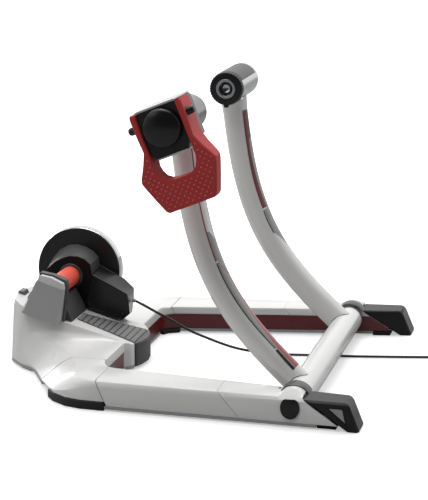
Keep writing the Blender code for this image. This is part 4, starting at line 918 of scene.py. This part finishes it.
class TRAINER_OT_caps(bpy.types.Operator):
    """Set the grey plates in the windows of the end caps"""
    bl_idname = "trainer.caps"
    bl_label = "End cap plates"

    def execute(self, context):
        for side, label in SIDES:
            bm = bmesh.new()
            bridge(bm, [[bm.verts.new(mm(x, side * (LEG_OUTER[0] + LEG_OUTER[1] * x + depth), z))
                         for x, z in PLATE_OUTLINE] for depth in PLATE_DEPTHS])
            bmesh.ops.bevel(bm, geom=list(bm.edges), offset=PLATE_EDGE * MM, segments=2, affect="EDGES")
            shell(bm, label + "_cap_plate", "base", look("cap_plate"))
        return {"FINISHED"}


# The ring's sizes in metres
RING_BORE = 0.0158
RIB_STEPS = 4
NOTCH = 0.0007
TAB_ROOT = 0.0015
TAB_SHOULDER = 0.0028
TAB_TOP = 0.0036
TAB_HALF = 0.004
TAB_END_HALF = 0.0032


class TRAINER_OT_ring(bpy.types.Operator):
    """Build the adjuster ring with its grip ribs and thumb tab"""
    bl_idname = "trainer.ring"
    bl_label = "Adjuster ring"

    def execute(self, context):
        low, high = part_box("adjuster_ring")
        near, far = low[1], high[1]
        outer = (high[0] - low[0]) / 2
        count = context.scene.trainer_sizes.ring_ribs * RIB_STEPS
        centre = mm(HEAD[0], 0, HEAD[1])
        # Radius, share of the depth and whether the notches cut there
        profile = ((RING_BORE, 0.0, 0), (RING_BORE, 1.0, 0), (outer, 1.0, 0), (outer, 0.85, 1),
                   (outer, 0.25, 1), (outer - 0.0012, 0.05, 1), (outer - 0.0022, 0.0, 0))
        bm = bmesh.new()
        rings = []
        for i, angle in enumerate(full_turn(count)):
            notch = NOTCH if i % RIB_STEPS >= RIB_STEPS / 2 else 0.0
            rings.append([bm.verts.new((centre.x + (radius - notch * cut) * math.cos(angle),
                                        mix(near, far, share),
                                        centre.z + (radius - notch * cut) * math.sin(angle)))
                          for radius, share, cut in profile])
        bridge(bm, rings, around=True)
        ring = shell(bm, "adjuster_ring_dressed", "adjuster_ring", look("black_plastic"), 28)
        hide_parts("adjuster_ring")
        bm = bmesh.new()
        rings = []
        base, shoulder = outer - TAB_ROOT, outer + TAB_SHOULDER
        for y, wide in ((near + 0.0008, TAB_END_HALF), (near + 0.0016, TAB_HALF),
                        (far - 0.0012, TAB_HALF), (far - 0.0004, TAB_END_HALF)):
            outline = ((-wide, base), (-wide * 0.8, shoulder), (0.0, outer + TAB_TOP), (wide * 0.8, shoulder),
                       (wide, base))
            rings.append([bm.verts.new((centre.x + x, y, centre.z - z)) for x, z in outline])
        bridge(bm, rings)
        shell(bm, "adjuster_tab", "adjuster_ring", look("black_plastic"), 40)
        return {"FINISHED"}


# The seal's section (radius, y) and the circles of the thin rings on its two lips, grey as a painted
# highlight, in millimetres
SEAL_PROFILE = ((14.0, 30.0), (19.5, 30.0), (19.5, 28.3), (19.2, 27.8), (18.6, 27.6), (18.1, 27.9),
                (17.8, 28.9), (17.2, 28.9), (16.9, 28.0), (16.4, 27.7), (15.9, 27.9), (14.0, 28.4))
SEAL_STEPS = 64
LIP_RADII = (18.9, 16.5)
LIP_Y = 27.6
LIP_THICK = 0.45
LIP_POINTS = 8


class TRAINER_OT_seal(bpy.types.Operator):
    """Turn the lipped seal round the roller's end, with grey rings on its lips as a painted highlight"""
    bl_idname = "trainer.seal"
    bl_label = "Roller seal"

    def execute(self, context):
        bm = bmesh.new()
        revolve(bm, SEAL_PROFILE, FLYWHEEL, SEAL_STEPS)
        seal = shell(bm, "roller_seal_dressed", "base", look("seal"), 50)
        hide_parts("roller_seal")
        bm = bmesh.new()
        for radius in LIP_RADII:
            circle = [(radius + LIP_THICK * math.cos(turn), LIP_Y + LIP_THICK * math.sin(turn))
                      for turn in full_turn(LIP_POINTS)]
            revolve(bm, circle, FLYWHEEL, SEAL_STEPS)
        # Thin grey rings on the lips, a painted highlight
        shell(bm, "roller_seal_lips", "base", look("seal_lips"), 60)
        return {"FINISHED"}


# The collar's section (radius, y) in millimetres and its arc in degrees
COLLAR_PROFILE = ((23.7, 237.0), (24.6, 237.0), (25.0, 237.6), (25.0, 262.4), (24.6, 263.0), (23.7, 263.0))
COLLAR_ARC = (30, 146)
COLLAR_STEPS = 40


class TRAINER_OT_collars(bpy.types.Operator):
    """Fit the dark half collars over the legs' bosses beside the pivots"""
    bl_idname = "trainer.collars"
    bl_label = "Pivot collars"

    def execute(self, context):
        for side, label in SIDES:
            bm = bmesh.new()
            revolve(bm, COLLAR_PROFILE, PIVOT, COLLAR_STEPS, COLLAR_ARC, side)
            shell(bm, label + "_pivot_collar", "base", look("pivot_ring"), 40)
        return {"FINISHED"}


# Screws on each body: place in millimetres, way out, radius in metres
SCREWS = {
    "base": (((-187, 30.3, 82), (0, -1, 0), 0.0026), ((-132, 30.3, 67.5), (0, -1, 0), 0.0026),
             ((-175, 71, 120), (0, 1, 0), 0.0026), ((-135, 71, 64), (0, 1, 0), 0.0026),
             ((177.4, -251.5, 43.9), (0, 0, 1), 0.0021), ((177.4, 251.5, 43.9), (0, 0, 1), 0.0021)),
    "rotor": (((FLYWHEEL[0], 99.2, FLYWHEEL[1]), (0, 1, 0), 0.0045),),
}
# Reach and rise of the rings of a screw's head and of its socket, as shares of the radius
SCREW_RINGS = ((1.0, -0.2), (1.0, 0.18), (0.86, 0.42), (0.6, 0.52))
SOCKET_RINGS = ((0.44, 0.5), (0.44, 0.1))
SCREW_STEPS = 24
ASLANT = Vector((0.31, 0.52, 0.8))


def screw_head(bm, centre, out, radius):
    """Button head screw with a hexagon socket, standing on centre and facing out."""
    out = Vector(out)
    first = out.cross(ASLANT).normalized()
    second = out.cross(first)
    rings = []
    for reach, rise in SCREW_RINGS + SOCKET_RINGS:
        ring = []
        for angle in full_turn(SCREW_STEPS):
            scale = reach
            if len(rings) >= len(SCREW_RINGS):
                scale = reach * math.cos(math.pi / 6) / math.cos((angle % (math.pi / 3)) - math.pi / 6)
            place = centre + (first * math.cos(angle) + second * math.sin(angle)) * radius * scale
            ring.append(bm.verts.new(place + out * radius * rise))
        rings.append(ring)
    bridge(bm, rings)


class TRAINER_OT_screws(bpy.types.Operator):
    """Set the screws of the brake's housing, the flywheel and the legs"""
    bl_idname = "trainer.screws"
    bl_label = "Screws"

    def execute(self, context):
        for body, spots in SCREWS.items():
            bm = bmesh.new()
            for place, out, radius in spots:
                screw_head(bm, mm(*place), out, radius)
            shell(bm, body + "_screws", body, look("screws"), 30)
        return {"FINISHED"}


# Stage

CAMERA_PLACE = (0.7217, -3.0936, 0.8700)
CAMERA_TARGET = (0.0240, 0.0, 0.1858)
CAMERA_LENS = 151.2
LAMP_TARGET = (0.0, 0.0, 0.15)

# Name, place, width and power of each lamp
LAMPS = (
    ("top_lamp", (-0.5, -0.9, 2.7), 2.0, 20),
    ("left_lamp", (-1.9, 2.4, 0.9), 1.0, 22),
    ("front_lamp", (-1.2, -1.6, 1.5), 0.9, 2.5),
    ("back_lamp", (0.1, 1.0, 2.3), 1.6, 26),
    ("side_lamp", (2.4, 0.6, 1.5), 1.2, 2),
)
FLOOR_DROP = 0.0004
FLOOR_BOUNCE = (0.42, 0.42, 0.42, 1)
FLOOR_SEEN = (0.8, 0.8, 0.8, 1)
GLOW_REACH = (0.5, 1.3)
FRONT_WAY = (0.35, -0.94, 0.0)
FRONT_FADE = (-0.1, 0.7)


def stand_facing(obj, place, target):
    """Put a lamp or a camera at place and turn it to target."""
    obj.location = place
    obj.rotation_euler = (Vector(target) - Vector(place)).to_track_quat("-Z", "Y").to_euler()
    bpy.context.scene.collection.objects.link(obj)


class TRAINER_OT_camera(bpy.types.Operator):
    """Place the camera where the photograph was taken from"""
    bl_idname = "trainer.camera"
    bl_label = "Camera"

    def execute(self, context):
        camera = bpy.data.cameras.new("camera")
        camera.lens = CAMERA_LENS
        camera.sensor_width = 36.0
        camera.clip_start = 0.1
        camera.clip_end = 60.0
        obj = bpy.data.objects.new("camera", camera)
        stand_facing(obj, CAMERA_PLACE, CAMERA_TARGET)
        context.scene.camera = obj
        return {"FINISHED"}


def floor_material(glow):
    """Pale floor that keeps the shadow near the object and turns white further off."""
    material = bpy.data.materials.new("Pale Floor")
    material.use_nodes = True
    tree = material.node_tree
    seen = add(tree, "LightPath", output="Is Camera Ray")
    place = add(tree, "TexCoord", output="Object")
    reach = add(tree, "VectorMath", {0: place}, "Value", operation="LENGTH")
    strength = maths(tree, "MULTIPLY", spread(tree, reach, *GLOW_REACH, glow, 1.0), seen)
    feed(tree, tree.nodes["Principled BSDF"], {
        "Base Color": blend(tree, seen, FLOOR_BOUNCE, FLOOR_SEEN), "Roughness": 0.6,
        "Specular IOR Level": 0.1, "Emission Color": (1, 1, 1, 1), "Emission Strength": strength})
    return material


def light_sky(world, stage):
    """White sky, darker on the camera's side for the light that it sheds."""
    world.use_nodes = True
    tree = world.node_tree
    place = add(tree, "TexCoord", output="Generated")
    front = add(tree, "VectorMath", {0: place, 1: FRONT_WAY}, "Value", operation="DOT_PRODUCT")
    shade = spread(tree, front, *FRONT_FADE, 1.0, stage.front_level)
    glossy = add(tree, "LightPath", output="Is Glossy Ray")
    level = add(tree, "Mix", {"Factor": glossy, "A": stage.sky_level, "B": 1.0}, "Result")
    seen = maths(tree, "MAXIMUM", add(tree, "LightPath", output="Is Camera Ray"),
                 add(tree, "LightPath", output="Is Transmission Ray"))
    feed(tree, tree.nodes["Background"], {
        "Color": (1, 1, 1, 1),
        "Strength": maths(tree, "MAXIMUM", maths(tree, "MULTIPLY", shade, level), seen)})


class TRAINER_OT_stage(bpy.types.Operator):
    """Lay the pale floor and set the sky and the soft lamps"""
    bl_idname = "trainer.stage"
    bl_label = "Floor and lamps"

    def execute(self, context):
        stage = context.scene.trainer_stage
        context.scene.view_settings.view_transform = "Standard"
        half = stage.floor_size / 2
        mesh = bpy.data.meshes.new("floor")
        mesh.from_pydata([(-half, -half, 0), (half, -half, 0), (half, half, 0), (-half, half, 0)], [],
                         [(0, 1, 2, 3)])
        mesh.materials.append(floor_material(stage.floor_glow))
        floor = bpy.data.objects.new("floor", mesh)
        floor.location.z = -FLOOR_DROP
        context.scene.collection.objects.link(floor)
        context.scene.world = bpy.data.worlds.new("sky")
        light_sky(context.scene.world, stage)
        for name, place, width, power in LAMPS:
            lamp = bpy.data.lights.new(name, "AREA")
            lamp.shape = "RECTANGLE"
            lamp.size = lamp.size_y = width
            lamp.energy = power * stage.lamp_level
            stand_facing(bpy.data.objects.new(name, lamp), place, LAMP_TARGET)
        return {"FINISHED"}


OPERATORS = (
    TRAINER_OT_camera, TRAINER_OT_cord, TRAINER_OT_stage, TRAINER_OT_solids, TRAINER_OT_lever,
    TRAINER_OT_arms, TRAINER_OT_stripes, TRAINER_OT_caps, TRAINER_OT_ring, TRAINER_OT_seal,
    TRAINER_OT_collars, TRAINER_OT_screws,
)


class TRAINER_PT_panel(bpy.types.Panel):
    """Sizes, colours and steps of the bike trainer"""
    bl_idname = "TRAINER_PT_panel"
    bl_label = "Bike Trainer"
    bl_space_type = "VIEW_3D"
    bl_region_type = "UI"
    bl_category = "Trainer"

    def draw(self, context):
        layout = self.layout
        scene = context.scene
        for group in (scene.trainer_sizes, scene.trainer_colours, scene.trainer_stage):
            box = layout.box()
            for name in group.bl_rna.properties.keys():
                if name not in ("rna_type", "name"):
                    box.prop(group, name)
        for operator in OPERATORS:
            layout.operator(operator.bl_idname)


CLASSES = (TrainerSizes, TrainerColours, TrainerStage) + OPERATORS + (TRAINER_PT_panel,)


def register():
    for cls in CLASSES:
        bpy.utils.register_class(cls)
    bpy.types.Scene.trainer_sizes = bpy.props.PointerProperty(type=TrainerSizes)
    bpy.types.Scene.trainer_colours = bpy.props.PointerProperty(type=TrainerColours)
    bpy.types.Scene.trainer_stage = bpy.props.PointerProperty(type=TrainerStage)


def unregister():
    del bpy.types.Scene.trainer_stage
    del bpy.types.Scene.trainer_colours
    del bpy.types.Scene.trainer_sizes
    for cls in reversed(CLASSES):
        bpy.utils.unregister_class(cls)


def main():
    register()
    for operator in OPERATORS:
        step = getattr(bpy.ops.trainer, operator.bl_idname.split(".")[1])
        if step() != {"FINISHED"}:
            raise RuntimeError(operator.bl_label + " did not finish")


if __name__ == "__main__":
    main()
